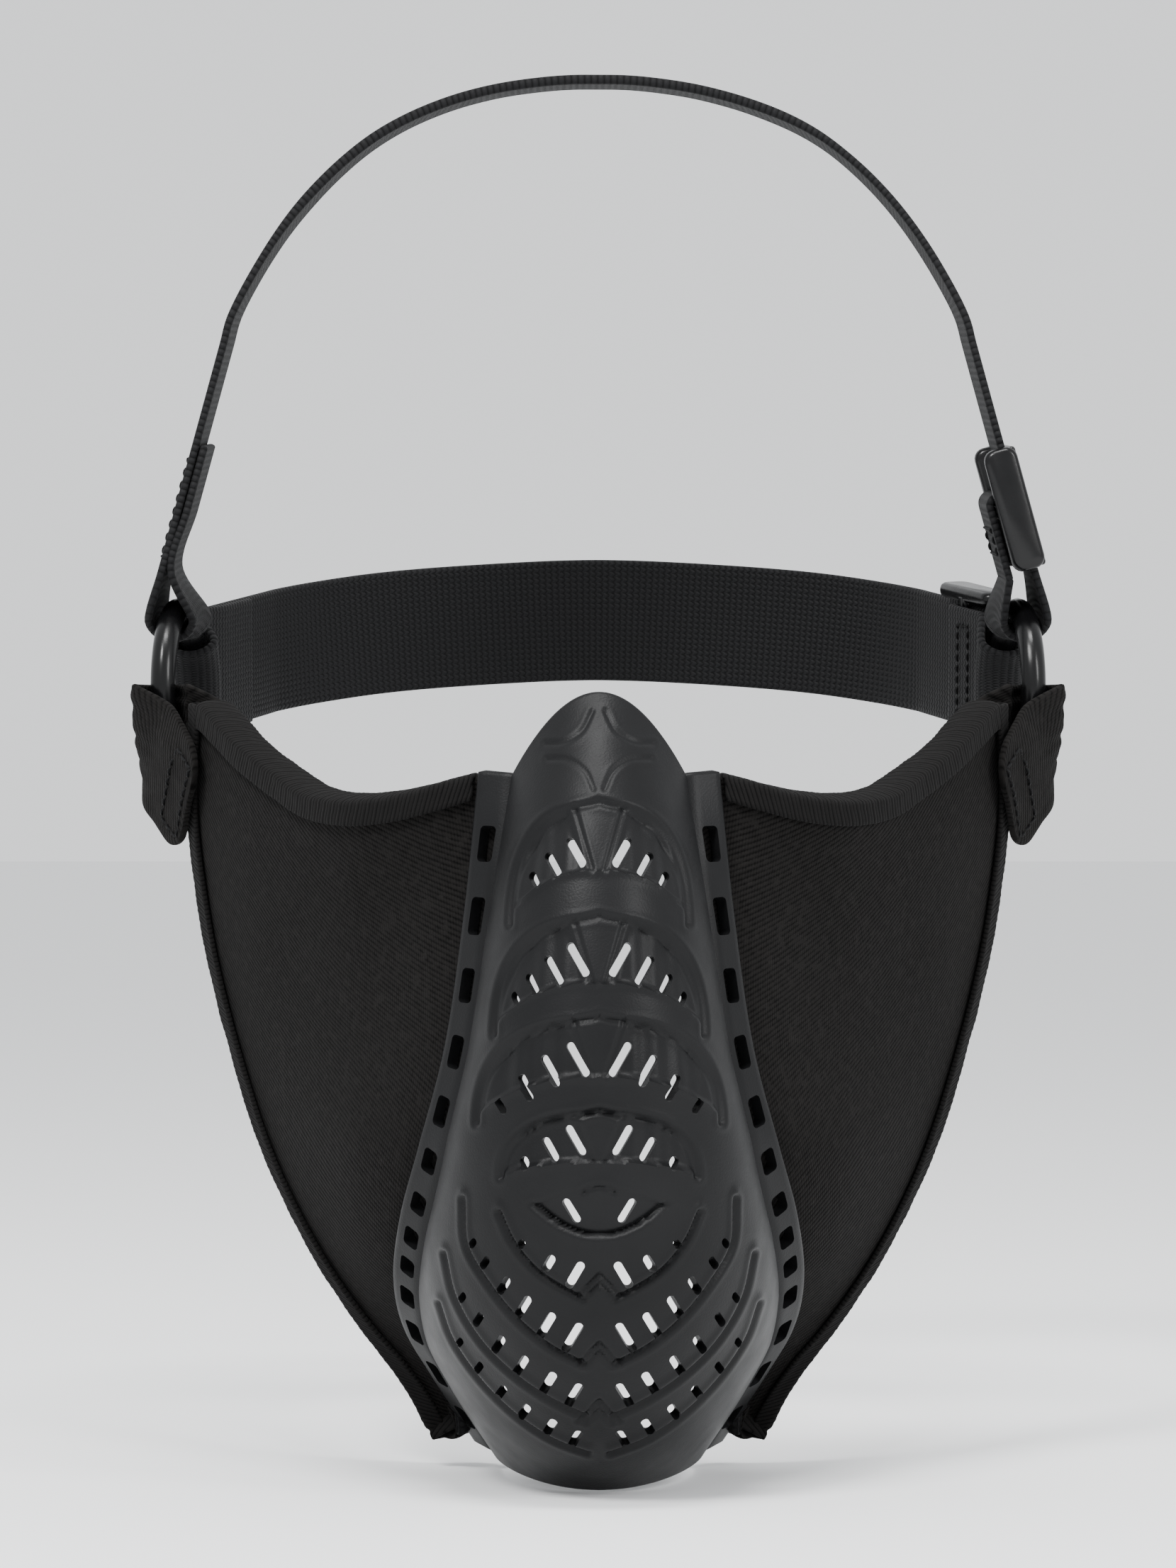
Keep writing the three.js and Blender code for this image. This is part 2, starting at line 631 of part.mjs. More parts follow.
/** The strand that comes back up from the ring, round the slider's middle bar, and hangs down inside. */
function strapReturn(run) {
  const rise = [0, 0.5, 1].map((s) =>
    strandRow(run, THREE.MathUtils.lerp(GAP / 2, sliderMiddle, s), LEVEL.returnInner, -1));
  const radius = (LEVEL.returnOuter - LEVEL.returnInner) / 2;
  const turnAt = sliderMiddle + SLIDER_BAR / 2 - 0.1;
  const turn = spread(5).map((s) => {
    const angle = Math.PI * s;
    const face = (offset) => runPoints(run, turnAt + (radius + offset) * Math.sin(angle),
      LEVEL.bar - (radius + offset) * Math.cos(angle));
    return { outer: face(WEBBING / 2), inner: face(-WEBBING / 2) };
  });
  const down = strandRow(run, sliderMiddle - RETURN_TAIL, LEVEL.returnOuter);
  return slab([...rise, ...turn, down]);
}

/** The slider: two rails, two end bars outside the main strand and a middle bar inside it. */
function slider(run) {
  const axes = [run.forward, run.widthways, run.out];
  const place = (distance, sideways, level) =>
    along(run.start, [run.forward, sliderMiddle + distance], [run.widthways, sideways], [run.out, level]);
  const inside = WEBBING_WIDTH / 2 + SLIDER_SIDE_GAP;
  const barSpan = 2 * inside + SLIDER_RAIL;
  const depth = LEVEL.endBar - LEVEL.bar + BAR_THICKNESS;
  const railLevel = (LEVEL.endBar + LEVEL.bar) / 2;
  const rails = [-1, 1].map((side) => placedBox(
    place(0, side * (inside + SLIDER_RAIL / 2), railLevel), axes, [SLIDER_LENGTH, SLIDER_RAIL, depth]));
  const endBars = [-1, 1].map((end) => placedBox(
    place((end * (SLIDER_LENGTH - SLIDER_END_BAR)) / 2, 0, LEVEL.endBar), axes,
    [SLIDER_END_BAR, barSpan, BAR_THICKNESS]));
  const middleBar = placedBox(place(0, 0, LEVEL.bar), axes, [SLIDER_BAR, barSpan, BAR_THICKNESS]);
  const [first, ...rest] = [...rails, ...endBars, middleBar].map(solid);
  return geometryOf(rest.reduce((sum, piece) => sum.add(piece), first));
}

/** A box seam on a strand's surface, with its thread standing off that surface. */
function strapStitch(run, middle, half, level, facing) {
  const normal = run.out.clone().multiplyScalar(facing);
  return threadLoop(seamOutline(1).map(([a, b]) => ({
    point: along(run.start, [run.forward, middle + a * half],
      [run.widthways, b * 0.4 * WEBBING_WIDTH], [run.out, level + facing * (WEBBING / 2 + GAP + THREAD)]),
    normal,
  })));
}

const topRun = straightRun(TOP_ANGLE, TOP_LEAN);
const rearRun = straightRun(REAR_ANGLE, REAR_LEAN);
// The middle of each strap's half past its straight run, up to the plane x = 0.
const crownPoints = [[62.6, 9, 109.5], [52.6, 10, 121.3], [41.4, 11, 130], [26.7, 12, 136.3], [10, 12, 139.3],
  [0, 12, 139.7]];
const napePoints = [[59, 86.5, 30], [45, 94, 32.2], [24, 98.5, 34], [0, 99.5, 35]];

// ---- materials and the assembly ----
const looks = {
  rubber: { color: 0x1d1e21, roughness: 0.55 },
  cloth: { color: 0x151516, roughness: 0.95 },
  foam: { color: 0x202022, roughness: 1 },
  lining: { color: 0x111112, roughness: 0.95 },
  binding: { color: 0x0e0e0f, roughness: 0.9 },
  webbing: { color: 0x101112, roughness: 0.85 },
  thread: { color: 0x18181a, roughness: 0.7 },
  plastic: { color: 0x09090a, roughness: 0.25 },
};
const mask = new THREE.Group();

function add(name, geometry, look) {
  const mesh = new THREE.Mesh(geometry, new THREE.MeshStandardMaterial({ ...looks[look], metalness: 0 }));
  mesh.name = name;
  mask.add(mesh);
}

function addPair(name, geometry, look) {
  add(`left_${name}`, geometry, look);
  add(`right_${name}`, mirror(geometry), look);
}

add("muzzle_shell", muzzleShell(), "rubber");
addPair("cheek_face", panelLayer(0, -FACE), "cloth");
addPair("cheek_foam", panelLayer(-FACE - GAP, -FACE - GAP - FOAM), "foam");
addPair("cheek_lining", panelLayer(-STACK + LINING, -STACK), "lining");
addPair("top_binding", topBinding(), "binding");
addPair("rear_binding", rearBinding(), "binding");
addPair("tab", tab(), "cloth");
addPair("tab_stitch", tabStitch(), "thread");
addPair("ring", ring(), "plastic");

for (const [name, run, angle, length, points, count] of [
  ["top", topRun, TOP_ANGLE, TOP_RUN, crownPoints, 12],
  ["rear", rearRun, REAR_ANGLE, REAR_RUN, napePoints, 10],
]) {
  add(`${name}_strap`, strap(run, angle, length, points, count), "webbing");
  add(`${name}_strap_return`, strapReturn(run), "webbing");
  add(`${name}_slider`, slider(run), "plastic");
  const sewn = mirror(strapStitch(run, SEWN_TAIL / 2, SEWN_TAIL / 2 - 3, 0, 1));
  add(`${name}_strap_end_stitch`, sewn, "thread");
  add(`${name}_slider_stitch`, strapStitch(run, sliderMiddle - RETURN_TAIL / 2 - 1, 2.6,
    LEVEL.returnInner, -1), "thread");
}

export default mask;
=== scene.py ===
"""A black half-face field mask: vented rubber muzzle, cloth cheeks, side rings and two webbing straps.

Lengths are in millimetres until a mesh is made; the model is in metres, +Z up, -Y ahead of the face.
"""

import json
import math

import bpy
import numpy as np
from mathutils import Matrix, Vector, noise


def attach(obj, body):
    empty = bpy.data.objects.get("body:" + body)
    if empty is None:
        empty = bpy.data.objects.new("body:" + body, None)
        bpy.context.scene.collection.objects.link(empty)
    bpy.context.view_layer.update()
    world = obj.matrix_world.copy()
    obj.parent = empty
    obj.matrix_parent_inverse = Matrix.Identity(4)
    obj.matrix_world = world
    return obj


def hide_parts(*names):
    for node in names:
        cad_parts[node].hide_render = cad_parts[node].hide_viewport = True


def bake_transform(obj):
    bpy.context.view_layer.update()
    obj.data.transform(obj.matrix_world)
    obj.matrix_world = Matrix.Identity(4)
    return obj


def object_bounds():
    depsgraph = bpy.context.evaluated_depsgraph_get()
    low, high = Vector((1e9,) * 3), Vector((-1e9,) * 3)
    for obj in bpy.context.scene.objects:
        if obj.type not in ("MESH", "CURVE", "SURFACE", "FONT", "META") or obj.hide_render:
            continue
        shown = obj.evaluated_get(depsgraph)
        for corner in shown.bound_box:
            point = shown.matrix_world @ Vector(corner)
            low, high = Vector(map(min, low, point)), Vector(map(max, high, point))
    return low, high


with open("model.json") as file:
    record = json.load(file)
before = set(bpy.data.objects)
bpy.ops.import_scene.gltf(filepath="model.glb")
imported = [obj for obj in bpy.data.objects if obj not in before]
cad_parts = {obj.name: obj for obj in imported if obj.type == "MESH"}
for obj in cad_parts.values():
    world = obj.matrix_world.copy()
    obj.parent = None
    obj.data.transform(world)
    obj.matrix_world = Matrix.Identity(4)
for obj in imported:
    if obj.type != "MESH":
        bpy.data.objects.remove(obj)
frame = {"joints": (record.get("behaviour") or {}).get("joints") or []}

CAD_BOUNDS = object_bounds()
MM = 0.001


def add_object(name, data):
    """A new object in the scene that holds the given data."""
    made = bpy.data.objects.new(name, data)
    bpy.context.scene.collection.objects.link(made)
    return made


# ---- camera ----
VIEW_DISTANCE = 1.2
camera_data = bpy.data.cameras.new("camera")
camera_data.lens = 139.7
camera_data.sensor_width = 36
camera_data.clip_start = 0.05
camera_data.clip_end = 20
camera = add_object("camera", camera_data)
camera.location = (-0.002, -VIEW_DISTANCE, 0.0)
camera.rotation_euler = (math.radians(90), 0, 0)
bpy.context.scene.camera = camera

# ---- sizes, as in the CAD model ----
GAP = 0.3
RUBBER = 2.4
FLANGE_WIDTH = 6.5
FACE, FOAM, LINING = 0.8, 3.0, 0.7
STACK = FACE + GAP + FOAM + GAP + LINING
BINDING_WALL, BINDING_WIDTH, BINDING_REACH = 0.9, 4.2, 0.8
FLANGE_CLEARANCE = 1.5
RING_RADIUS, RING_SECTION, RING_SLACK = 15.5, 2.5, 0.65
RING_TOE = math.radians(8)
TAB, TAB_WIDTH, TAB_LENGTH = 1.2, 24.0, 17.0
TAB_ANGLE, TAB_SPAN, TAB_EDGE = math.radians(217), math.radians(38), 22.0
TAB_OFFSET = BINDING_WALL + 4.5 * GAP
WEBBING, WEBBING_WIDTH = 1.4, 25.0
LOOP_SIDE, LOOP_SPAN = 1.25, math.radians(30)
NECK, STRAND_ASIDE, SEWN_TAIL = 23.5, 2.5, 26.0
SLIDER_LENGTH, RAIL, SIDE_GAP, END_BAR, BAR, BAR_THICKNESS = 24.6, 3.0, 1.0, 2.6, 3.0, 1.5
SLIDER_MIDDLE = 1 + SLIDER_LENGTH / 2
RETURN_TAIL = 9.0
INSIDE_HEAD = np.array([0.0, -40.0, -55.0])

# ---- small helpers ----
unit = lambda v: v / np.maximum(np.linalg.norm(v, axis=-1, keepdims=True), 1e-12)
mirrored = lambda p: np.asarray(p, float) * np.array([-1.0, 1.0, 1.0])


def lerp(a, b, t):
    return a + (b - a) * t


def smoothstep(low, high, x):
    t = np.clip((x - low) / (high - low), 0, 1)
    return t * t * (3 - 2 * t)


def running_length(points):
    """How far along a line of points each one lies."""
    return np.r_[0, np.cumsum(np.linalg.norm(np.diff(points, axis=0), axis=1))]


def running_width(grid):
    """How far along its own row each point of a grid lies."""
    steps = np.linalg.norm(np.diff(grid, axis=1), axis=2)
    return np.cumsum(np.hstack([np.zeros((len(grid), 1)), steps]), axis=1)


class Spline:
    """A centripetal Catmull-Rom curve through points, read by parameter or by share of its length."""

    def __init__(self, points):
        p = np.array(points, float)
        self.n = len(p) - 1
        self.p = np.vstack([2 * p[0] - p[1], p, 2 * p[-1] - p[-2]])
        self.ts = np.linspace(0, 1, 601)
        self.sums = running_length(self.at(self.ts))
        self.length = self.sums[-1]

    def at(self, t):
        t = np.clip(np.atleast_1d(np.asarray(t, float)), 0, 1) * self.n
        i = np.minimum(t.astype(int), self.n - 1)
        w = (t - i)[:, None]
        p0, p1, p2, p3 = (self.p[i + k] for k in range(4))
        gap = lambda a, b: np.maximum(np.linalg.norm(b - a, axis=1) ** 0.5, 1e-4)[:, None]
        d0, d1, d2 = gap(p0, p1), gap(p1, p2), gap(p2, p3)
        m1 = ((p1 - p0) / d0 - (p2 - p0) / (d0 + d1) + (p2 - p1) / d1) * d1
        m2 = ((p2 - p1) / d1 - (p3 - p1) / (d1 + d2) + (p3 - p2) / d2) * d1
        return p1 + m1 * w + (-3 * p1 + 3 * p2 - 2 * m1 - m2) * w**2 + (2 * p1 - 2 * p2 + m1 + m2) * w**3

    def share(self, s):
        return self.at(np.interp(np.asarray(s, float) * self.length, self.sums, self.ts))

    def tangent(self, s, step=1e-3):
        s = np.atleast_1d(np.asarray(s, float))
        return unit(self.share(np.minimum(s + step, 1)) - self.share(np.maximum(s - step, 0)))


def densify(rows, row_count, column_count):
    """A fine grid through a coarse grid of points, smooth both ways. Rows are spread by length."""
    rows = np.array(rows, float)
    steps = running_length(rows[:, rows.shape[1] // 2])
    fine = np.linspace(0, steps[-1], row_count)
    t = np.interp(fine, steps, np.linspace(0, 1, len(rows)))
    columns = [Spline(rows[:, c]).at(t) for c in range(rows.shape[1])]
    across = np.stack(columns, axis=1)
    u = np.linspace(0, 1, column_count)
    return np.stack([Spline(row).at(u) for row in across])


def normals_of(grid, away_from=None):
    """Unit normals of a grid, pointing away from a point if one is given."""
    normal = unit(np.cross(np.gradient(grid, axis=0), np.gradient(grid, axis=1)))
    if away_from is None:
        return normal
    return normal * np.sign((normal * (grid - away_from)).sum(-1, keepdims=True))


def smoothed(normals, times, weight=1):
    """A grid of normals, each averaged with its neighbours a number of times."""
    for _ in range(times):
        p = np.pad(normals, ((1, 1), (1, 1), (0, 0)), mode="edge")
        normals = unit(normals * weight + p[:-2, 1:-1] + p[2:, 1:-1] + p[1:-1, :-2] + p[1:-1, 2:])
    return normals


def distance_to(points, x, z):
    """The distance from places (x, z) to a polyline."""
    best = np.full(np.shape(x), 1e9)
    for (ax, az), (bx, bz) in zip(points[:-1], points[1:]):
        dx, dz = bx - ax, bz - az
        t = np.clip(((x - ax) * dx + (z - az) * dz) / (dx * dx + dz * dz), 0, 1)
        best = np.minimum(best, np.hypot(x - ax - t * dx, z - az - t * dz))
    return best


def facing_out(vertices, faces):
    """The faces of a closed shape, turned over if they face inwards."""
    corners = [(f[0], f[k], f[k + 1]) for f in faces for k in range(1, len(f) - 1)]
    a, b, c = (vertices[[t[k] for t in corners]] for k in range(3))
    return [tuple(reversed(f)) for f in faces] if (a * np.cross(b, c)).sum() < 0 else faces


def shade(mesh, sharp_angle):
    """Smooth shading but for the edges sharper than an angle in degrees."""
    mesh.polygons.foreach_set("use_smooth", [True] * len(mesh.polygons))
    mesh.set_sharp_from_angle(angle=math.radians(sharp_angle))


def make_object(name, vertices, faces, material, uvs=None, sharp_angle=40):
    """A mesh object from millimetres, facing out and shaded smooth but for its sharp edges."""
    vertices = np.asarray(vertices, float)
    mesh = bpy.data.meshes.new(name)
    faces = [tuple(int(i) for i in f) for f in facing_out(vertices, faces)]
    mesh.from_pydata((vertices * MM).tolist(), [], faces)
    if uvs is not None:
        layer = mesh.uv_layers.new(name="UVMap")
        index = np.zeros(len(mesh.loops), int)
        mesh.loops.foreach_get("vertex_index", index)
        layer.data.foreach_set("uv", np.asarray(uvs, float)[index].ravel())
    shade(mesh, sharp_angle)
    mesh.materials.append(material)
    mesh.validate()
    return add_object(name, mesh)


def mirror_object(obj, name):
    """The mirror image of an object in the plane x = 0."""
    mesh = obj.data.copy()
    mesh.transform(Matrix.Scale(-1, 4, (1, 0, 0)))
    mesh.flip_normals()
    return add_object(name, mesh)


def place(obj, body, slot, *nodes):
    """obj rides on a body and stands for CAD nodes, which are hidden. The slot is not used."""
    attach(obj, body)
    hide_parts(*nodes)


def grid_faces(rows, columns):
    """The cells of a grid of points."""
    starts = [r * columns + c for r in range(rows - 1) for c in range(columns - 1)]
    return [(a, a + 1, a + columns + 1, a + columns) for a in starts]


def round_faces(rounds, sides, closed=False):
    """The faces between rounds of points, and from the last round to the first one if closed."""
    faces = []
    for i in range(rounds if closed else rounds - 1):
        n = (i + 1) % rounds
        for k in range(sides):
            m = (k + 1) % sides
            faces.append((i * sides + k, i * sides + m, n * sides + m, n * sides + k))
    return faces


def capped_faces(rounds, sides):
    """The faces between rounds of points, with one at each end."""
    last = (rounds - 1) * sides
    return [tuple(range(sides))[::-1], tuple(range(last, last + sides))] + round_faces(rounds, sides)


def boundary(rows, columns):
    """The places round a grid's edge, in order."""
    top = [(0, c) for c in range(columns)]
    right = [(r, columns - 1) for r in range(1, rows)]
    bottom = [(rows - 1, c) for c in range(columns - 2, -1, -1)]
    left = [(r, 0) for r in range(rows - 2, 0, -1)]
    return top + right + bottom + left


def shell(outer, inner, bulge, steps, uv, coarse=1):
    """A closed sheet between two grids, with a rounded rim.

    The inner grid keeps every coarse-th row and column.
    """
    rows, columns = outer.shape[:2]
    edge = boundary(rows, columns)
    inner_kept = inner[::coarse, ::coarse]
    in_rows, in_columns = inner_kept.shape[:2]
    vertices = [outer.reshape(-1, 3), inner_kept.reshape(-1, 3)]
    uvs = [uv.reshape(-1, 2), uv[::coarse, ::coarse].reshape(-1, 2)]
    first_inner = rows * columns
    first_rim = first_inner + in_rows * in_columns
    faces = grid_faces(rows, columns)
    faces += [tuple(first_inner + f[k] for k in (0, 3, 2, 1)) for f in grid_faces(in_rows, in_columns)]
    at = tuple(np.array(edge).T)
    inwards = tuple(np.clip(at, 1, [[rows - 2], [columns - 2]]))
    top, bottom = outer[at], inner[at]
    centre, half = (top + bottom) / 2, (top - bottom) / 2
    out = centre - (outer[inwards] + inner[inwards]) / 2
    thick = unit(half)
    out = unit(out - (out * thick).sum(-1, keepdims=True) * thick)
    count = len(edge)
    loops = [[r * columns + c for r, c in edge]]
    for k in range(1, steps):
        angle = math.pi * k / steps
        vertices.append(centre + half * math.cos(angle) + out * bulge * math.sin(angle))
        uvs.append(uv[at])
        loops.append([first_rim + (k - 1) * count + i for i in range(count)])
    for one, other in zip(loops[:-1], loops[1:]):
        for i in range(count):
            j = (i + 1) % count
            faces.append((one[j], one[i], other[i], other[j]))
    last = loops[-1]
    behind = [first_inner + (r // coarse) * in_columns + c // coarse for r, c in edge]
    split = coarse // 2
    for start in range(0, count, coarse):
        here, there = behind[start], behind[(start + coarse) % count]
        for k in range(coarse):
            a, b = last[(start + k) % count], last[(start + k + 1) % count]
            faces.append((b, a, here if k < split else there))
            if k == split:
                faces.append((a, here, there))
    return np.vstack(vertices), faces, np.vstack(uvs)


def tube(path, radii, sides=8):
    """A round tube along a path of points, closed at its ends."""
    forward = unit(np.gradient(path, axis=0))
    side = np.cross(forward[0], [0.0, 0.0, 1.0])
    if np.linalg.norm(side) < 1e-3:
        side = np.cross(forward[0], [0.0, 1.0, 0.0])
    vertices = []
    for p, f, r in zip(path, forward, radii):
        side = unit(side - side.dot(f) * f)
        up = np.cross(f, side)
        for k in range(sides):
            a = 2 * math.pi * k / sides
            vertices.append(p + r * (math.cos(a) * side + math.sin(a) * up))
    return np.array(vertices), capped_faces(len(path), sides)


def joined(parts):
    """One set of vertices and faces from several."""
    vertices, faces, first = [], [], 0
    for v, f in parts:
        vertices.append(v)
        faces += [tuple(i + first for i in face) for face in f]
        first += len(v)
    return np.vstack(vertices), faces


def prism(outline, low, high):
    """A closed prism from an outline of points, reaching from low to high along a direction each."""
    outline = np.asarray(outline, float)
    return np.vstack([outline + low, outline + high]), capped_faces(2, len(outline))


def rounded_outline(centre, along, across, length, width, radius, steps=5):
    """A rectangle with round corners in the plane of two directions."""
    radius = min(radius, width / 2 - 1e-3, length / 2 - 1e-3)
    points = []
    for sa, sc, start in ((1, 1, 0), (-1, 1, 90), (-1, -1, 180), (1, -1, 270)):
        for k in range(steps + 1):
            angle = math.radians(start + 90 * k / steps)
            a = sa * (length / 2 - radius) + radius * math.cos(angle)
            c = sc * (width / 2 - radius) + radius * math.sin(angle)
            points.append(centre + along * a + across * c)
    return points


def applied(obj):
    """obj with its modifiers made plain mesh."""
    bpy.context.view_layer.update()
    mesh = bpy.data.meshes.new_from_object(obj.evaluated_get(bpy.context.evaluated_depsgraph_get()))
    obj.modifiers.clear()
    obj.data = mesh
    return obj


def boolean(obj, cutter, operation, sharp_angle):
    """obj with the cutter taken away or added, as plain mesh. The cutter is used up."""
    modifier = obj.modifiers.new("cut", "BOOLEAN")
    modifier.operation = operation
    modifier.solver = "MANIFOLD"
    modifier.object = cutter
    applied(obj)
    shade(obj.data, sharp_angle)
    bpy.data.objects.remove(cutter)


# ---- materials ----
class Look:
    """A procedural material under construction: its shader and the nodes that lead to it."""

    def __init__(self, name, colour, roughness, **sockets):
        self.material = bpy.data.materials.new(name)
        self.material.use_nodes = True
        self.nodes, self.links = self.material.node_tree.nodes, self.material.node_tree.links
        self.shader = self.nodes["Principled BSDF"]
        self.shader.inputs["Base Color"].default_value = (*colour, 1)
        self.shader.inputs["Roughness"].default_value = roughness
        for key, value in sockets.items():
            self.shader.inputs[key.replace("_", " ")].default_value = value

    def node(self, kind, **inputs):
        made = self.nodes.new(kind)
        for key, value in inputs.items():
            made.inputs[key.replace("_", " ")].default_value = value
        return made

    def math(self, operation, *values):
        """A maths node's result from numbers and other nodes' results."""
        made = self.nodes.new("ShaderNodeMath")
        made.operation = operation
        for socket, value in zip(made.inputs, values):
            if isinstance(value, (int, float)):
                socket.default_value = value
            else:
                self.links.new(value, socket)
        return made.outputs[0]

    def scaled_sum(self, a, b, b_share):
        """a and a share of b."""
        return self.math("ADD", a, self.math("MULTIPLY", b, b_share))

    def mixed(self, a, a_share, b, b_share):
        """A share of a and a share of b."""
        return self.math("MULTIPLY_ADD", a, a_share, self.math("MULTIPLY", b, b_share))

    def noise(self, scale, detail=2.0, rough=0.5):
        place = self.nodes.new("ShaderNodeTexCoord")
        texture = self.node("ShaderNodeTexNoise", Scale=scale, Detail=detail, Roughness=rough)
        self.links.new(place.outputs["Object"], texture.inputs["Vector"])
        return texture.outputs["Fac"]

    def wave(self, x, pitch, power=1.0):
        """A rounded ripple of a pitch along a coordinate, from 0 to 1."""
        ripple = self.math("ABSOLUTE", self.math("SINE", self.math("MULTIPLY", x, math.pi / pitch)))
        return ripple if power == 1 else self.math("POWER", ripple, power)

    def uv(self):
        place, split = self.nodes.new("ShaderNodeTexCoord"), self.nodes.new("ShaderNodeSeparateXYZ")
        self.links.new(place.outputs["UV"], split.inputs[0])
        return split.outputs[0], split.outputs[1]

    def colour(self, factor, dark, light):
        ramp = self.nodes.new("ShaderNodeValToRGB")
        for element, position, tone in zip(ramp.color_ramp.elements, (0.3, 0.7), (dark, light)):
            element.position = position
            element.color = (*tone, 1)
        self.links.new(factor, ramp.inputs["Fac"])
        self.links.new(ramp.outputs["Color"], self.shader.inputs["Base Color"])

    def roughness(self, factor, low, high):
        reach = self.node("ShaderNodeMapRange", To_Min=low, To_Max=high)
        self.links.new(factor, reach.inputs["Value"])
        self.links.new(reach.outputs["Result"], self.shader.inputs["Roughness"])

    def bump(self, height, distance, strength, before=None):
        made = self.node("ShaderNodeBump", Strength=strength, Distance=distance)
        self.links.new(height, made.inputs["Height"])
        if before is not None:
            self.links.new(before.outputs["Normal"], made.inputs["Normal"])
        self.links.new(made.outputs["Normal"], self.shader.inputs["Normal"])
        return made


def rubber():
    look = Look("rubber_charcoal", (0.02, 0.02, 0.022), 0.48, Specular_IOR_Level=0.13)
    look.colour(look.noise(45, 4), (0.0042, 0.0043, 0.0046), (0.0068, 0.0069, 0.0074))
    look.roughness(look.noise(160, 3), 0.34, 0.5)
    grain = look.bump(look.noise(2600), 0.00012, 0.35)
    look.bump(look.noise(120), 0.0004, 0.12, grain)
    return look.material


def cloth():
    look = Look("cloth_twill", (0.011, 0.010, 0.010), 0.92, Sheen_Weight=0.015, Sheen_Roughness=0.5,
                Specular_IOR_Level=0.04)
    u, v = look.uv()
    twill = look.wave(look.scaled_sum(v, u, 0.42), 1.1)
    yarn = look.wave(look.scaled_sum(u, v, 0.15), 0.62)
    weave = look.mixed(twill, 0.7, yarn, 0.3)
    speck = look.noise(900, 2, 0.7)
    lint = look.math("POWER", look.noise(520, 1, 0.3), 9.0)
    tone = look.scaled_sum(look.scaled_sum(look.math("MULTIPLY", weave, 0.5), speck, 0.5), lint, 6.0)
    look.colour(tone, (0.0014, 0.00132, 0.00128), (0.0082, 0.0076, 0.0073))
    fine = look.bump(weave, 0.00028, 0.75)
    look.bump(look.noise(700, 3, 0.7), 0.0003, 0.5, fine)
    return look.material


def lining():
    look = Look("lining_knit", (0.01, 0.01, 0.01), 0.88, Sheen_Weight=0.03, Specular_IOR_Level=0.12)
    u, v = look.uv()
    knit = look.math("MULTIPLY", look.wave(u, 0.9), look.wave(v, 1.1))
    look.colour(knit, (0.007, 0.007, 0.0075), (0.013, 0.013, 0.0138))
    look.bump(knit, 0.0002, 0.6)
    return look.material


def overlock():
    look = Look("binding_overlock", (0.007, 0.007, 0.007), 0.85, Sheen_Weight=0.015, Specular_IOR_Level=0.05)
    u, v = look.uv()
    loops = look.wave(look.scaled_sum(v, u, 0.35), 0.95, 0.7)
    look.colour(loops, (0.0022, 0.0022, 0.0022), (0.0068, 0.0064, 0.0063))
    first = look.bump(loops, 0.0003, 0.6)
    look.bump(look.noise(1300, 3, 0.7), 0.00025, 0.5, first)
    return look.material


def webbing():
    look = Look("webbing_weave", (0.01, 0.01, 0.011), 0.66, Sheen_Weight=0.02, Specular_IOR_Level=0.1)
    u, v = look.uv()
    ribs = look.wave(u, 1.15)
    rows = look.wave(look.scaled_sum(v, ribs, 0.55), 1.3)
    weave = look.mixed(rows, 0.65, ribs, 0.35)
    look.colour(weave, (0.0022, 0.0022, 0.0024), (0.0078, 0.0078, 0.0084))
    first = look.bump(weave, 0.0005, 0.8)
    look.bump(look.noise(1500), 0.0002, 0.4, first)
    return look.material


def thread():
    look = Look("thread_bonded", (0.008, 0.008, 0.009), 0.6, Specular_IOR_Level=0.1)
    look.colour(look.noise(1400), (0.0028, 0.0028, 0.003), (0.006, 0.006, 0.0065))
    look.bump(look.noise(3500), 0.0002, 0.5)
    return look.material


def plastic():
    look = Look("plastic_gloss", (0.003, 0.003, 0.0033), 0.24, Specular_IOR_Level=0.24)
    look.colour(look.noise(90, 3), (0.002, 0.002, 0.0022), (0.0034, 0.0034, 0.0037))
    look.roughness(look.noise(260, 4), 0.17, 0.34)
    look.bump(look.noise(420, 3), 0.0002, 0.12)
    return look.material


RUBBER_LOOK, CLOTH_LOOK, LINING_LOOK, BINDING_LOOK = rubber(), cloth(), lining(), overlock()
WEBBING_LOOK, THREAD_LOOK, PLASTIC_LOOK = webbing(), thread(), plastic()

# ---- muzzle ----
FLANGE_EDGE = Spline([
    [21.8, -88, 2], [24.6, -90, -24], [28.1, -91, -48], [32.9, -88, -66.5], [36.5, -80, -80], [38, -70, -92],
    [36.5, -60, -102], [31.9, -53, -111], [27.5, -47.6, -118.5], [23.6, -42.8, -125]])
RIDGE = Spline([
    [0, -96, 16.5], [0, -112, -8], [0, -121, -36], [0, -122, -65], [0, -118, -94], [0, -103, -118],
    [0, -84, -129.5]])


def flange_at(share):
    share = np.atleast_1d(np.asarray(share, float))
    edge, down = FLANGE_EDGE.share(share), FLANGE_EDGE.tangent(share)
    chord = RIDGE.share(share) - edge
    inwards = unit(chord - (chord * down).sum(1, keepdims=True) * down)
    normal = unit(np.cross(down, inwards))
    sign = np.sign((normal * (edge - INSIDE_HEAD)).sum(1, keepdims=True))
    return edge, down, inwards, normal * sign


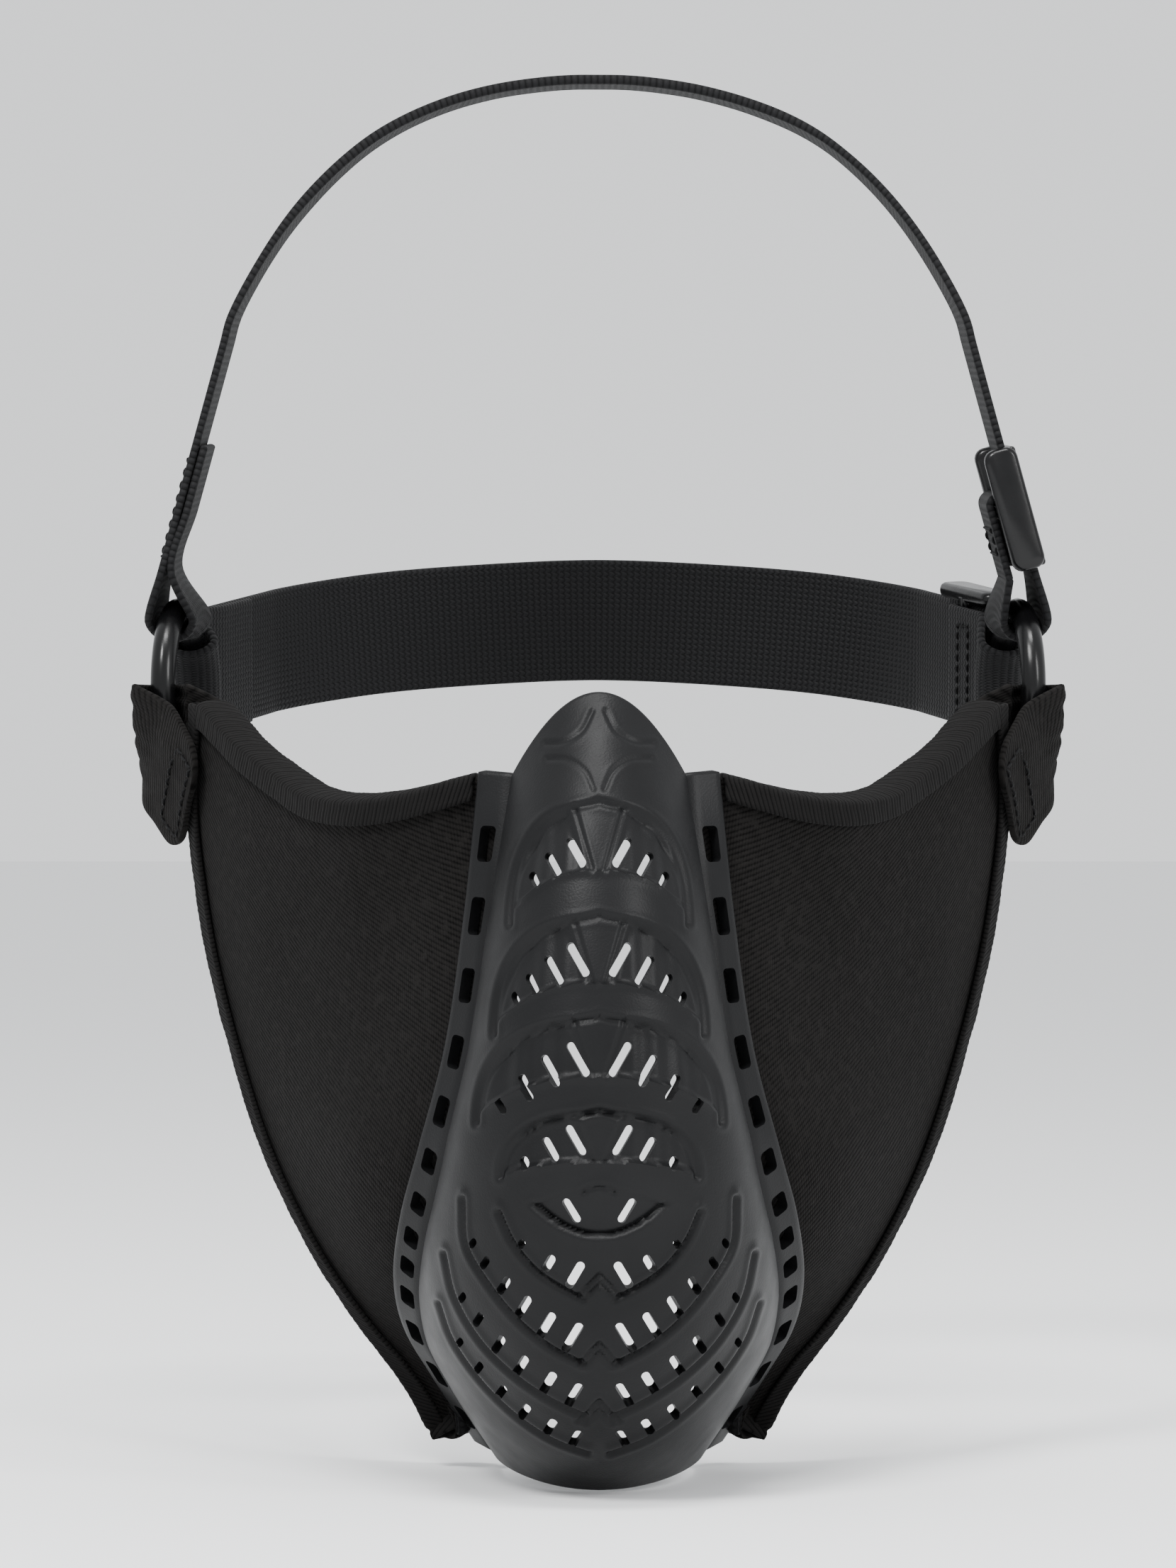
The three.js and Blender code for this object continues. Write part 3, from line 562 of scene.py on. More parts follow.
# Crescents: height of the upper point, of the lower edge's middle, and where the two meet at the side.
CRESCENTS = [(-3.9, -15.4, 16.1, -25.1), (-24.2, -35.2, 18.9, -44.8), (-42.1, -51.8, 22.0, -60.6),
             (-58.5, -66.9, 17.5, -70.0)]
LENS = (-71.6, -80.2, 12.0, -74.6)
SMILES = [
    [(17.9, -76.3), (15.4, -81.6), (10.8, -86.9), (2.75, -91.7)],
    [(24.5, -74.3), (23.9, -82.7), (19.9, -89.5), (14.2, -96.2), (8.5, -100.7), (3.0, -103.5)],
    [(28.0, -84.7), (26.2, -92.3), (21.7, -100.1), (15.4, -106.3), (8.5, -110.8), (2.5, -113.6)],
    [(29.1, -94.2), (26.8, -100.7), (21.7, -108.0), (15.4, -114.1), (8.5, -118.6), (1.9, -121.2)],
]
CHEVRONS = [-86.9, -99.6, -110.6]


def smooth_line(points, count=28):
    flat = Spline([(x, z, 0) for x, z in points]).share(np.linspace(0, 1, count))
    return [(p[0], p[1]) for p in flat]


def arch(middle, leg, leg_z, power, root, peak=0.0):
    """Half of an arch as a line of (x, z), from its middle out to its leg."""
    q = np.sin(np.linspace(0, math.pi / 2, 40)) ** 1.2
    z = leg_z + (middle - leg_z) * (1 - q**power) ** (1 / root) + peak * np.exp(-q * leg / 2.6)
    return list(zip(q * leg, z))


def groove(depth, line, x, z, deep, wide):
    """Cut a rounded groove along a line, with a faint rim beside it."""
    far = distance_to(line, x, z)
    rim = 0.16 * deep * np.exp(-(((far - 2.1 * wide) / wide) ** 2))
    return depth - deep * np.exp(-((far / wide) ** 2)) + rim


def relief(x, z):
    """How far the muzzle's surface stands from its plain dome at (x, z) seen from in front."""
    side = np.abs(x)
    depth = np.zeros_like(x)
    for apex, lower, leg, leg_z in CRESCENTS:
        above = arch(apex, leg, leg_z, 2.7, 2.3, 0.9)
        below = arch(lower, leg, leg_z, 2.3, 1.5)
        upper = np.interp(side, *zip(*above))
        under = np.interp(side, *zip(*below))
        near_upper, near_under = distance_to(above, side, z), distance_to(below, side, z)
        within = (upper > z) & (z > under) & (side < leg)
        edge_in = np.where(within, smoothstep(0, 0.75, near_upper), 0)
        t = np.clip((upper - z) / np.maximum(upper - under, 0.5), 0, 1)
        keel = lerp(4.6, 1.2, t)
        off_keel = smoothstep(keel - 0.2, keel + 2.6, side)
        ends = smoothstep(leg, leg - 4, side)
        bowl = (0.3 + 0.7 * off_keel) * (1.55 - 0.55 * t) * (0.45 + 0.55 * ends)
        fans = 0.16 * off_keel * np.cos(side * 1.42 + 0.6)
        depth -= edge_in * smoothstep(0, 0.9, near_under) * (bowl + fans)
        depth = groove(depth, above, side, z, 0.75, 0.5)
        crease = [(4.6, float(np.interp(4.6, *zip(*above)))), (1.2, float(np.interp(1.2, *zip(*below))))]
        depth = groove(depth, crease, side, z, 0.4, 0.42)
        rim = np.where(z < under, near_under, 50)
        depth += 0.32 * np.exp(-((rim / 0.8) ** 2)) * ends
        depth -= 0.35 * np.exp(-((near_under / 0.4) ** 2)) * (z > under) * ends
    apex, lower, leg, leg_z = LENS
    above, below = arch(apex, leg, leg_z, 2, 1), arch(lower, leg, leg_z, 2, 1)
    upper, under = np.interp(side, *zip(*above)), np.interp(side, *zip(*below))
    within = (upper > z) & (z > under) & (side < leg)
    t = np.clip((upper - z) / np.maximum(upper - under, 0.3), 0, 1)
    depth -= np.where(within, smoothstep(0, 0.6, distance_to(above, side, z)), 0) * (0.25 + 1.15 * t)
    depth = groove(depth, below, side, z, 0.55, 0.45)
    for points in SMILES:
        line = smooth_line(points)
        depth = groove(depth, line, side, z, 0.85, 0.44)
        depth += 0.25 * np.exp(-((distance_to(line, side, z - 1.3) / 0.75) ** 2))
    for top in CHEVRONS:
        for drop, reach in ((0, 3.6), (1.7, 2.3)):
            depth = groove(depth, [(0, top - drop), (reach, top - drop - 1.05 * reach)], side, z, 0.6, 0.42)
    for top, reach in ((-58.2, 3.4), (-71.4, 2.8)):
        line = [(0, top), (reach * 0.6, top - 0.25), (reach, top - 0.9)]
        depth = groove(depth, line, side, z, 0.55, 0.45)
    brow = smooth_line([(1.2, 13.2), (3.2, 9.6), (6.6, 7.6), (9.8, 7.4)])
    cheekline = smooth_line([(1.0, -0.8), (2.6, 2.4), (5.6, 4.4), (9.4, 4.6)])
    for line in (brow, cheekline):
        depth = groove(depth, line, side, z, 0.3, 0.42)
    return depth


MUZZLE_ROWS, STRIP, DOME = 360, 8, 216  # steps down, across a flange and across the dome
MUZZLE_SHARP = 50  # degrees
shares = np.linspace(0, 1, MUZZLE_ROWS + 1)
edge, _, inwards, _ = flange_at(shares)
foot = edge + inwards * FLANGE_WIDTH
top = RIDGE.share(shares)
angles = np.linspace(-math.pi / 2, math.pi / 2, DOME + 1)
sine, cosine = np.sin(angles)[None, :], np.cos(angles)[None, :]
dome = np.stack([
    foot[:, :1] * sine,
    top[:, 1:2] + (foot[:, 1:2] - top[:, 1:2]) * (1 - cosine),
    top[:, 2:] + (foot[:, 2:] - top[:, 2:]) * sine**2], axis=-1)
strip = np.stack([edge + inwards * FLANGE_WIDTH * s for s in np.linspace(0, 1, STRIP + 1)[:-1]], axis=1)
muzzle = np.concatenate([mirrored(strip), dome, strip[:, ::-1]], axis=1)
muzzle_normals = smoothed(normals_of(muzzle, away_from=INSIDE_HEAD), 2, weight=2)
columns = np.arange(muzzle.shape[1])
last_dome = len(columns) - 1 - STRIP
BLEND, CREASE_REACH = 14, 30  # columns over which the relief fades in, and which the crease can reach
CREASE_DEPTH, CREASE_WIDTH, DOME_STEP = 0.55, 0.7, 0.3
on_dome = smoothstep(0, BLEND, columns - STRIP) * smoothstep(0, BLEND, last_dome - columns)
raised = relief(muzzle[..., 0], muzzle[..., 2]) * on_dome[None, :]
from_foot = np.minimum(np.abs(columns - STRIP), np.abs(last_dome - columns))
crease = np.minimum(from_foot, CREASE_REACH).astype(float)
on_flange = (columns < STRIP) | (columns > last_dome)
crease = np.where(on_flange, crease * FLANGE_WIDTH / STRIP, crease * DOME_STEP)
raised -= CREASE_DEPTH * np.exp(-((crease / CREASE_WIDTH) ** 2))[None, :]
outer = muzzle + muzzle_normals * raised[..., None]
inner = muzzle - muzzle_normals * RUBBER
v_axis = np.repeat(shares[:, None] * RIDGE.length, muzzle.shape[1], 1)
uv = np.stack([muzzle[..., 0], v_axis], -1)
muzzle_mesh = shell(outer, inner, 0.75, 5, uv, coarse=4)
muzzle_rubber = make_object("muzzle_rubber", *muzzle_mesh[:2], RUBBER_LOOK, muzzle_mesh[2], MUZZLE_SHARP)

FAN = math.radians(30)
VENT_WIDTH, CUT_DEPTH, MOST_STRETCH = 1.55, 5.0, 2.2
WINDOW_WIDTH, WINDOW_CORNER, WINDOW_INWARDS, WINDOW_OUTWARDS = 3.5, 0.9, 4, 3
# Rows of vents: height at the middle, rise towards the sides, lean, and each vent's place and length.
VENT_ROWS = [
    (-10.9, -0.038, FAN, [(4.5, 6), (8.9, 4.8), (12.4, 3)]),
    (-30.4, -0.033, FAN, [(3.9, 6.9), (8.6, 5.9), (12.6, 4.5), (15.6, 2.7)]),
    (-48.4, -0.03, FAN, [(3.9, 6.9), (9.1, 6.3), (13.6, 5.3), (17.4, 3)]),
    (-62.8, -0.025, FAN, [(4.3, 6), (9.2, 4.8), (13.7, 2.7)]),
    (-75.7, 0, FAN, [(5.3, 4.9)]),
    (-88, 0.034, -FAN, [(4.1, 5.4), (9.2, 3.4), (13.6, 1.6)]),
    (-99.6, 0.034, -FAN, [(4.6, 6), (9.3, 5.4), (13.6, 4.6), (17.2, 3.4), (20.2, 2.3), (22.5, 1.7)]),
    (-110, 0.029, -FAN, [(4.6, 4.9), (9.3, 4.6), (13.9, 4.3), (18.1, 3.4), (21.8, 2.6), (24.6, 1.7)]),
    (-118.8, 0.028, -FAN, [(4.4, 4), (9.2, 4), (13.5, 3.7), (17.8, 2.9), (21.8, 2), (25.1, 1.4)]),
]
# Windows in a flange: height and length.
FLANGE_WINDOWS = [
    (-10.8, 6.6), (-23.9, 6.9), (-36.5, 6.3), (-48.2, 6), (-58.7, 5.4), (-67.5, 4.2), (-75.3, 3.6),
    (-81.9, 3.4), (-87.6, 3.2), (-93.8, 3.6), (-101.4, 4.2), (-110.2, 4.6), (-119, 4.2)]


def vent(x, z, lean, length):
    """The rounded cutter of a vent centred at (x, z) from in front."""
    places = muzzle[:, STRIP:-STRIP]
    nearest = np.argmin((places[..., 0] - x) ** 2 + (places[..., 2] - z) ** 2)
    r, c = np.unravel_index(nearest, places.shape[:2])
    point, normal = places[r, c], muzzle_normals[r, c + STRIP]
    slant = math.copysign(lean, lean * x)
    reach = -(math.sin(slant) * normal[0] + math.cos(slant) * normal[2]) / min(normal[1], -0.3)
    lengthways = np.array([math.sin(slant), reach, math.cos(slant)])
    lengthways = lengthways - lengthways.dot(normal) * normal
    stretch = min(np.linalg.norm(lengthways), MOST_STRETCH)
    lengthways = unit(lengthways)
    across = np.cross(lengthways, normal)
    width = VENT_WIDTH * min(1.0, 0.75 + length / 12)
    outline = rounded_outline(point, lengthways, across, max(length * stretch, width + 0.1), width, width / 2)
    return prism(outline, -normal * CUT_DEPTH, normal * CUT_DEPTH)


def window(z, length, side):
    """The rounded cutter of a window in a flange."""
    share = np.interp(-z, -edge[:, 2], shares)
    at, along, over, normal = (v[0] for v in flange_at(share))
    across = np.cross(along, normal)
    outline = rounded_outline(at + over * FLANGE_WIDTH / 2, along, across, length / abs(along[2]),
                              WINDOW_WIDTH, WINDOW_CORNER)
    v, f = prism(outline, -normal * WINDOW_INWARDS, normal * WINDOW_OUTWARDS)
    return (v, f) if side > 0 else (mirrored(v), f)


cutters = [vent(side * x, middle + rise * x * x, lean, length)
           for middle, rise, lean, slots in VENT_ROWS for x, length in slots for side in (1, -1)]
cutters += [window(z, length, side) for z, length in FLANGE_WINDOWS for side in (1, -1)]
cutter = make_object("vent_cutters", *joined([(v, facing_out(v, f)) for v, f in cutters]), RUBBER_LOOK)
boolean(muzzle_rubber, cutter, "DIFFERENCE", MUZZLE_SHARP)
place(muzzle_rubber, "mask", "rubber", "muzzle_shell")

# ---- cheek panels ----
REAR_EDGE = Spline([
    [78.5, -17, 15.5], [79.2, -14, -5], [77.4, -12, -22], [75, -14, -35], [70, -20, -53], [63, -30, -72],
    [54, -38, -89], [46, -42, -101], [37, -44, -113], [30.5, -44, -124]])
REAR_TANGENT = unit(np.array([0.12, 1, 0]))


def panel_start(share):
    at, _, _, normal = flange_at(share)
    return at - normal * (RUBBER + GAP)


TOP_EDGE = Spline([
    panel_start(0)[0], [29, -84.5, -0.7], [38, -79, -2.9], [47, -71, -3.7], [55, -60, -2.2], [61, -50, 1.5],
    [68, -39, 6.7], [73, -29.5, 11.6], [76.4, -22, 14.8], [78.5, -17, 15.5]])


def under_flange(share):
    """Where the panel's front edge lies, behind the flange."""
    return panel_start(share)[0] + flange_at(share)[2][0] * (FLANGE_WIDTH - 1)


def hoop(share):
    """The curve back along the panel at a share of its height, as points at 0 to 1, and its length."""
    start, end = panel_start(share)[0], REAR_EDGE.share([share])[0]
    chord = end - start
    reach = 0.36 * np.linalg.norm(chord)
    finish = unit(lerp(REAR_TANGENT, unit(chord), share))
    second, third = start - flange_at(share)[2][0] * reach, end - finish * reach

    def point(t):
        t = np.atleast_1d(np.asarray(t, float))[:, None]
        return (1 - t) ** 3 * start + 3 * (1 - t) ** 2 * t * second + 3 * (1 - t) * t * t * third + t**3 * end

    length = np.linalg.norm(np.diff(point(np.linspace(0, 1, 80)), axis=0), axis=1).sum()
    return point, length


first_hoop, _ = hoop(0)


def panel_row(share, places):
    """The panel's points at a share of its height, for places from 0 to 1 along it."""
    point, _ = hoop(share)
    places = np.asarray(places, float)
    return point(places) + (TOP_EDGE.share(places) - first_hoop(places)) * (1 - share) ** 2


def coarse_panel():
    """The panel in few rows and columns, which the tabs lie on."""
    inset = BINDING_WIDTH / REAR_EDGE.length
    rows = []
    for share in [0, inset, *np.linspace(0, 1, 11)[1:]]:
        _, length = hoop(share)
        first, rear = min(FLANGE_CLEARANCE / length, 0.25), min(BINDING_WIDTH / length, 0.3)
        places = [0, *lerp(first, 1 - rear, np.linspace(0, 1, 6)), 1 - rear * BINDING_REACH, 1]
        rows.append(np.vstack([under_flange(share), panel_row(share, places)]))
    grid = np.array(rows)
    return grid, smoothed(normals_of(grid, away_from=INSIDE_HEAD), 4)


coarse_grid, coarse_normals = coarse_panel()


def panel_at(y, z):
    """The panel's surface at (y, z), carried on straight past its edges: a point and a normal."""
    best = (1e9, None, None)
    for r in range(coarse_grid.shape[0] - 1):
        for c in range(coarse_grid.shape[1] - 1):
            for first in ((r, c), (r + 1, c + 1)):
                corners = [first, (r + 1, c), (r, c + 1)]
                a, b, d = (coarse_grid[k] for k in corners)
                area = (b[1] - a[1]) * (d[2] - a[2]) - (d[1] - a[1]) * (b[2] - a[2])
                second = ((y - a[1]) * (d[2] - a[2]) - (d[1] - a[1]) * (z - a[2])) / area
                third = ((b[1] - a[1]) * (z - a[2]) - (y - a[1]) * (b[2] - a[2])) / area
                weights = (1 - second - third, second, third)
                miss = max(0.0, *(-w for w in weights))
                if miss < best[0]:
                    best = (miss, corners, weights)
    _, corners, weights = best
    point = sum(w * coarse_grid[k] for w, k in zip(weights, corners))
    normal = sum(w * coarse_normals[k] for w, k in zip(weights, corners))
    return point, unit(normal)


PAD_ROWS, PAD_COLUMNS = 46, 36
pad_shares = np.linspace(0, 1, PAD_ROWS + 1)
pad = np.array([np.vstack([under_flange(share), panel_row(share, np.linspace(0, 1, PAD_COLUMNS))])
                for share in pad_shares])
pad_normals = smoothed(normals_of(pad, away_from=INSIDE_HEAD), 5)
pad_widths = running_width(pad)
pad_heights = np.repeat(pad_shares[:, None] * REAR_EDGE.length, pad.shape[1], 1)
pad_uv = np.stack([pad_widths, pad_heights + 0.15 * pad_widths], -1)
FACE_INSET, BACK_INSET = 0.25, FACE + GAP + FOAM - 0.1
MOST_SWELL = 1.5  # the cap on what the simulation may move, of which it uses 0.4 mm at most
UNEVEN = 0.28


def simulated(obj, held, frames=14, pressure=3.0):
    """Where cloth simulation puts a mesh's points, its held points staying in place."""
    group = obj.vertex_groups.new(name="held")
    for i, weight in enumerate(held):
        if weight > 0:
            group.add([i], float(weight), "REPLACE")
    cloth = obj.modifiers.new("cloth", "CLOTH")
    settings = cloth.settings
    settings.quality = 6
    settings.mass = 0.15
    settings.tension_stiffness = settings.compression_stiffness = 25
    settings.shear_stiffness = 12
    settings.bending_stiffness = 1.2
    settings.use_pressure = True
    settings.uniform_pressure_force = pressure
    settings.effector_weights.gravity = 0
    settings.vertex_group_mass = "held"
    cloth.point_cache.frame_start, cloth.point_cache.frame_end = 1, frames
    for at in range(1, frames + 1):
        bpy.context.scene.frame_set(at)
    mesh = obj.evaluated_get(bpy.context.evaluated_depsgraph_get()).to_mesh()
    result = np.zeros(len(mesh.vertices) * 3)
    mesh.vertices.foreach_get("co", result)
    obj.modifiers.clear()
    obj.vertex_groups.clear()
    bpy.context.scene.frame_set(1)
    return result.reshape(-1, 3)


def cheek_pad():
    """The +X cheek's cloth over foam, with its edges held.

    The simulation hardly moves it: its form is the panel's own, made slightly uneven by noise.
    """
    out, back = pad - pad_normals * FACE_INSET, pad - pad_normals * BACK_INSET
    vertices, faces, uvs = shell(out, back, 1.0, 4, pad_uv)
    obj = make_object("left_cheek_pad", vertices, faces, CLOTH_LOOK, uvs, 80)
    rows, count = pad.shape[:2]
    row, column = np.divmod(np.arange(rows * count), count)
    near = np.minimum.reduce([row, rows - 1 - row, column, count - 1 - column])
    held = np.ones(len(vertices))
    held[: rows * count] = near < 2
    step = simulated(obj, held) / MM - vertices
    far = np.linalg.norm(step, axis=1, keepdims=True)
    vertices = vertices + step * np.minimum(1, MOST_SWELL / np.maximum(far, 1e-6))
    uneven = np.array([UNEVEN * noise.noise(Vector(p * [0.05, 0.05, 0.03])) for p in pad.reshape(-1, 3)])
    vertices[: rows * count] += pad_normals.reshape(-1, 3) * (uneven * np.minimum(1, near / 4))[:, None]
    obj.data.vertices.foreach_set("co", (vertices * MM).ravel())
    modifier = obj.modifiers.new("fine", "SUBSURF")
    modifier.levels = modifier.render_levels = 1
    modifier.uv_smooth = "NONE"
    return applied(obj)


left_pad = cheek_pad()
right_pad = mirror_object(left_pad, "right_cheek_pad")
for obj, side in ((left_pad, "left"), (right_pad, "right")):
    place(obj, "mask", "cloth", f"{side}_cheek_face", f"{side}_cheek_foam")

lining_out = pad - pad_normals * (STACK - LINING)
lining_in = pad - pad_normals * STACK
vertices, faces, uvs = shell(lining_out, lining_in, 0.2, 3, pad_uv)
left_lining = make_object("left_cheek_backing", vertices, faces, LINING_LOOK, uvs, 60)
right_lining = mirror_object(left_lining, "right_cheek_backing")
for obj, side in ((left_lining, "left"), (right_lining, "right")):
    place(obj, "mask", "lining", f"{side}_cheek_lining")


def binding(edges, inner, normals):
    """A strip folded round an edge: from its face, over the edge, to its back."""
    out = unit(edges - inner)
    middle = edges - normals * STACK / 2
    clear = GAP + BINDING_WALL / 2
    half = STACK / 2 + GAP + BINDING_WALL / 2
    straight = np.linspace(0, 1, 6)
    columns = [lerp(inner + normals * clear, edges + normals * (half - STACK / 2), s) for s in straight[:-1]]
    for angle in np.linspace(0, math.pi, 13):
        columns.append(middle + normals * half * math.cos(angle) + out * clear * math.sin(angle))
    columns += [lerp(edges - normals * (half + STACK / 2), inner - normals * (STACK + clear), s)
                for s in straight[1:]]
    grid = np.stack(columns, axis=1)
    face = normals_of(grid)
    lengths, across = running_length(edges), running_width(grid)
    ripple = 0.05 * np.sin(2 * math.pi * (lengths[:, None] + 0.3 * across) / 1.6)
    uneven = np.array([[0.16 * noise.noise(Vector((x / 5, c / 3, 0))) for c in range(grid.shape[1])]
                       for x in lengths])
    outside = grid + face * (BINDING_WALL / 2 + ripple + uneven)[..., None]
    inside = grid - face * (BINDING_WALL / 2)
    uv = np.stack([across, np.repeat(lengths[:, None], grid.shape[1], 1)], -1)
    return shell(outside, inside, 0.25, 3, uv)


fine_rows = np.linspace(0, 1, 261)
rear_edges = np.array([panel_row(s, [1])[0] for s in fine_rows])
rear_shares = [min(BINDING_WIDTH / hoop(s)[1], 0.3) for s in fine_rows]
rear_inner = np.array([panel_row(s, [1 - width])[0] for s, width in zip(fine_rows, rear_shares)])
rear_normals = unit(Spline(pad_normals[:, -1]).at(fine_rows))
vertices, faces, uvs = binding(rear_edges, rear_inner, rear_normals)
left_rear = make_object("left_rear_edging", vertices, faces, BINDING_LOOK, uvs, 60)
top_places = np.linspace(0.025, 0.955, 241)
top_inner = panel_row(BINDING_WIDTH / REAR_EDGE.length, top_places)
top_normals = unit(Spline(pad_normals[0, 1:]).at(top_places))
vertices, faces, uvs = binding(panel_row(0, top_places), top_inner, top_normals)
left_top = make_object("left_top_edging", vertices, faces, BINDING_LOOK, uvs, 60)
for obj, node_name in ((left_rear, "rear_binding"), (left_top, "top_binding")):
    other = mirror_object(obj, obj.name.replace("left", "right"))
    place(obj, "mask", "binding", f"left_{node_name}")
    place(other, "mask", "binding", f"right_{node_name}")

# ---- rings ----
ring_joint = next(j for j in frame["joints"] if j["name"] == "left_ring_spin")
RING_CENTRE = np.array(ring_joint["pos_m"]) / MM
RING_AXIS = np.array([math.cos(RING_TOE), math.sin(RING_TOE), 0])
RING_BACK = np.array([-math.sin(RING_TOE), math.cos(RING_TOE), 0])
UP = np.array([0.0, 0.0, 1.0])
ACROSS = np.linspace(-1, 1, 5)


def ring_direction(angle):
    return RING_BACK * math.cos(angle) + UP * math.sin(angle)


def ring_point(radius, aside, angle):
    return RING_CENTRE + ring_direction(angle) * radius + RING_AXIS * aside


def ring_mesh():
    """A ring with a faint moulding seam round its outside."""
    rounds, sides = 160, 28
    vertices = []
    for i in range(rounds):
        turn = 2 * math.pi * i / rounds
        for k in range(sides):
            a = 2 * math.pi * k / sides
            seam = 0.07 * math.exp(-((math.sin(a) / 0.12) ** 2)) if math.cos(a) > 0 else 0
            r = RING_SECTION + seam
            vertices.append(ring_point(RING_RADIUS + r * math.cos(a), r * math.sin(a), turn))
    return vertices, round_faces(rounds, sides, closed=True)


left_ring = make_object("left_ring_moulded", *ring_mesh(), PLASTIC_LOOK, None, 70)
place(left_ring, "left_ring", "plastic", "left_ring")
place(mirror_object(left_ring, "right_ring_moulded"), "right_ring", "plastic", "right_ring")


TAB_GRID, STRAP_GRID, RETURN_GRID = (170, 41), (420, 33), (110, 33)


def loop_rows(angle, span, thickness, aside, count=9):
    """Middle rows of a band bent round the ring, from its outer side to its inner side."""
    middle = RING_RADIUS - RING_SECTION - RING_SLACK - thickness / 2 + aside
    rows = []
    for s in np.linspace(0, 1, count):
        turn = math.pi * (1 - s)
        rows.append([ring_point(middle - aside * math.sin(turn), -aside * math.cos(turn), angle + w * span)
                     for w in ACROSS])
    return rows


def band(name, rows, thickness, size, look, bulge=0.45, gather=None, flip=None, corner=0, swollen=None):
    """A band of cloth or webbing along rows of points, its selvedges a little thicker.

    size is its rows and columns of points, flip a direction that its face should look in, corner the radius
    of its ends' corners. gather moves its surface and swollen thickens it, by the place along the band.
    """
    row_count, column_count = size
    grid = densify(rows, row_count, column_count)
    if corner:
        axis = grid[:, column_count // 2].copy()
        run = running_length(axis)
        near_end = np.clip(np.minimum(run, run[-1] - run) / corner, 0, 1)
        narrow = 1 - (1 - np.sqrt(1 - (1 - near_end) ** 2)) * corner * 2 / TAB_WIDTH
        grid = axis[:, None] + (grid - axis[:, None]) * narrow[:, None, None]
    normal = normals_of(grid)
    if flip is not None and (normal[row_count // 2, column_count // 2] * flip).sum() < 0:
        normal = -normal
    lengths = running_length(grid[:, column_count // 2])
    across = np.linspace(-1, 1, column_count)
    swell = 0.1 * np.exp(-(((np.abs(across) - 0.9) / 0.07) ** 2))
    lift = np.zeros(grid.shape[:2]) + swell[None, :]
    if swollen is not None:
        lift += swollen(lengths)[:, None]
    move = np.zeros(grid.shape[:2]) if gather is None else gather(lengths, across)
    outer = grid + normal * (thickness / 2 + lift + move)[..., None]
    inner = grid - normal * (thickness / 2 + lift - move)[..., None]
    width = np.linspace(0, 1, column_count)[None, :] * WEBBING_WIDTH + 0 * lengths[:, None]
    uv = np.stack([width, np.repeat(lengths[:, None], column_count, 1)], -1)
    vertices, faces, uvs = shell(outer, inner, bulge, 4, uv)
    return make_object(name, vertices, faces, look, uvs, 70)


# ---- cloth tabs ----
tab_side = (STACK + 2 * TAB_OFFSET + TAB) / 2
tab_sideways = ring_direction(TAB_ANGLE + math.pi / 2)


def tab_row(distance, offset):
    row = []
    for w in ACROSS:
        at = RING_CENTRE + ring_direction(TAB_ANGLE) * distance + tab_sideways * w * TAB_WIDTH / 2
        point, normal = panel_at(at[1], at[2])
        row.append(point + normal * offset)
    return row


tab_out = TAB_OFFSET + TAB / 2
distances = TAB_EDGE + np.linspace(0, 1, 4) * TAB_LENGTH
tab_rows = [tab_row(d, tab_out) for d in distances[::-1]]
tab_rows += loop_rows(TAB_ANGLE, TAB_SPAN, TAB, tab_side)
tab_rows += [tab_row(d, -STACK - tab_out) for d in distances]


def tab_gather(lengths, across):
    """Folds that run out from the ring along the cloth."""
    middle = lengths[-1] / 2
    near = np.exp(-(((lengths - middle) / 11) ** 2))[:, None]
    return near * (0.28 * np.sin(across * 13)[None, :] + 0.16 * np.sin(across * 23 + 1)[None, :]) * 0.8


left_tab = band("left_tab_cloth", tab_rows, TAB, TAB_GRID, CLOTH_LOOK, 0.35, tab_gather,
                flip=np.array([1.0, 0, 0]), corner=7)
right_tab = mirror_object(left_tab, "right_tab_cloth")
place(left_tab, "mask", "cloth", "left_tab")
place(right_tab, "mask", "cloth", "right_tab")


STITCH_DIP = np.array([-0.32, -0.02, 0.1, 0.13, 0.1, -0.02, -0.32])
STITCH_RADII = 0.27 * np.array([0.6, 0.95, 1, 1, 1, 0.95, 0.6])


def stitches(path, normals, pitch, length=1.9):
    """Stitches along a path, each a short thread that dips at its ends."""
    path, normals = np.asarray(path, float), np.asarray(normals, float)
    steps = running_length(path)
    along = lambda values, s: np.array([np.interp(s, steps, values[:, k]) for k in range(3)]).T
    parts = []
    count = max(1, int(steps[-1] // pitch))
    for i in range(count):
        s = (i + 0.5) * steps[-1] / count - length / 2 + np.linspace(0, 1, len(STITCH_DIP)) * length
        parts.append(tube(along(path, s) + unit(along(normals, s)) * STITCH_DIP[:, None], STITCH_RADII))
    return joined(parts)


def seam_path(point_at, steps=9, cut=0.92):
    """A closed rectangle of places, as pairs from -1 to 1, turned into points and normals."""
    corners = [(-1, -cut), (-1, cut), (1, cut), (1, -cut), (-1, -cut)]
    places = [(lerp(a[0], b[0], t), lerp(a[1], b[1], t)) for a, b in zip(corners[:-1], corners[1:])
              for t in np.linspace(0, 1, steps)[:-1]] + [corners[0]]
    found = [point_at(*p) for p in places]
    return [p for p, _ in found], [n for _, n in found]


def on_tab(a, b):
    at = (RING_CENTRE + ring_direction(TAB_ANGLE) * (TAB_EDGE + 0.7 * TAB_LENGTH + a * 0.2 * TAB_LENGTH)
          + tab_sideways * b * 0.38 * TAB_WIDTH)
    point, normal = panel_at(at[1], at[2])
    return point + normal * (TAB_OFFSET + TAB + 0.22), normal


left_tab_seam = make_object("left_tab_thread", *stitches(*seam_path(on_tab), pitch=2.4), THREAD_LOOK)
place(left_tab_seam, "mask", "thread", "left_tab_stitch")
place(mirror_object(left_tab_seam, "right_tab_thread"), "mask", "thread", "right_tab_stitch")

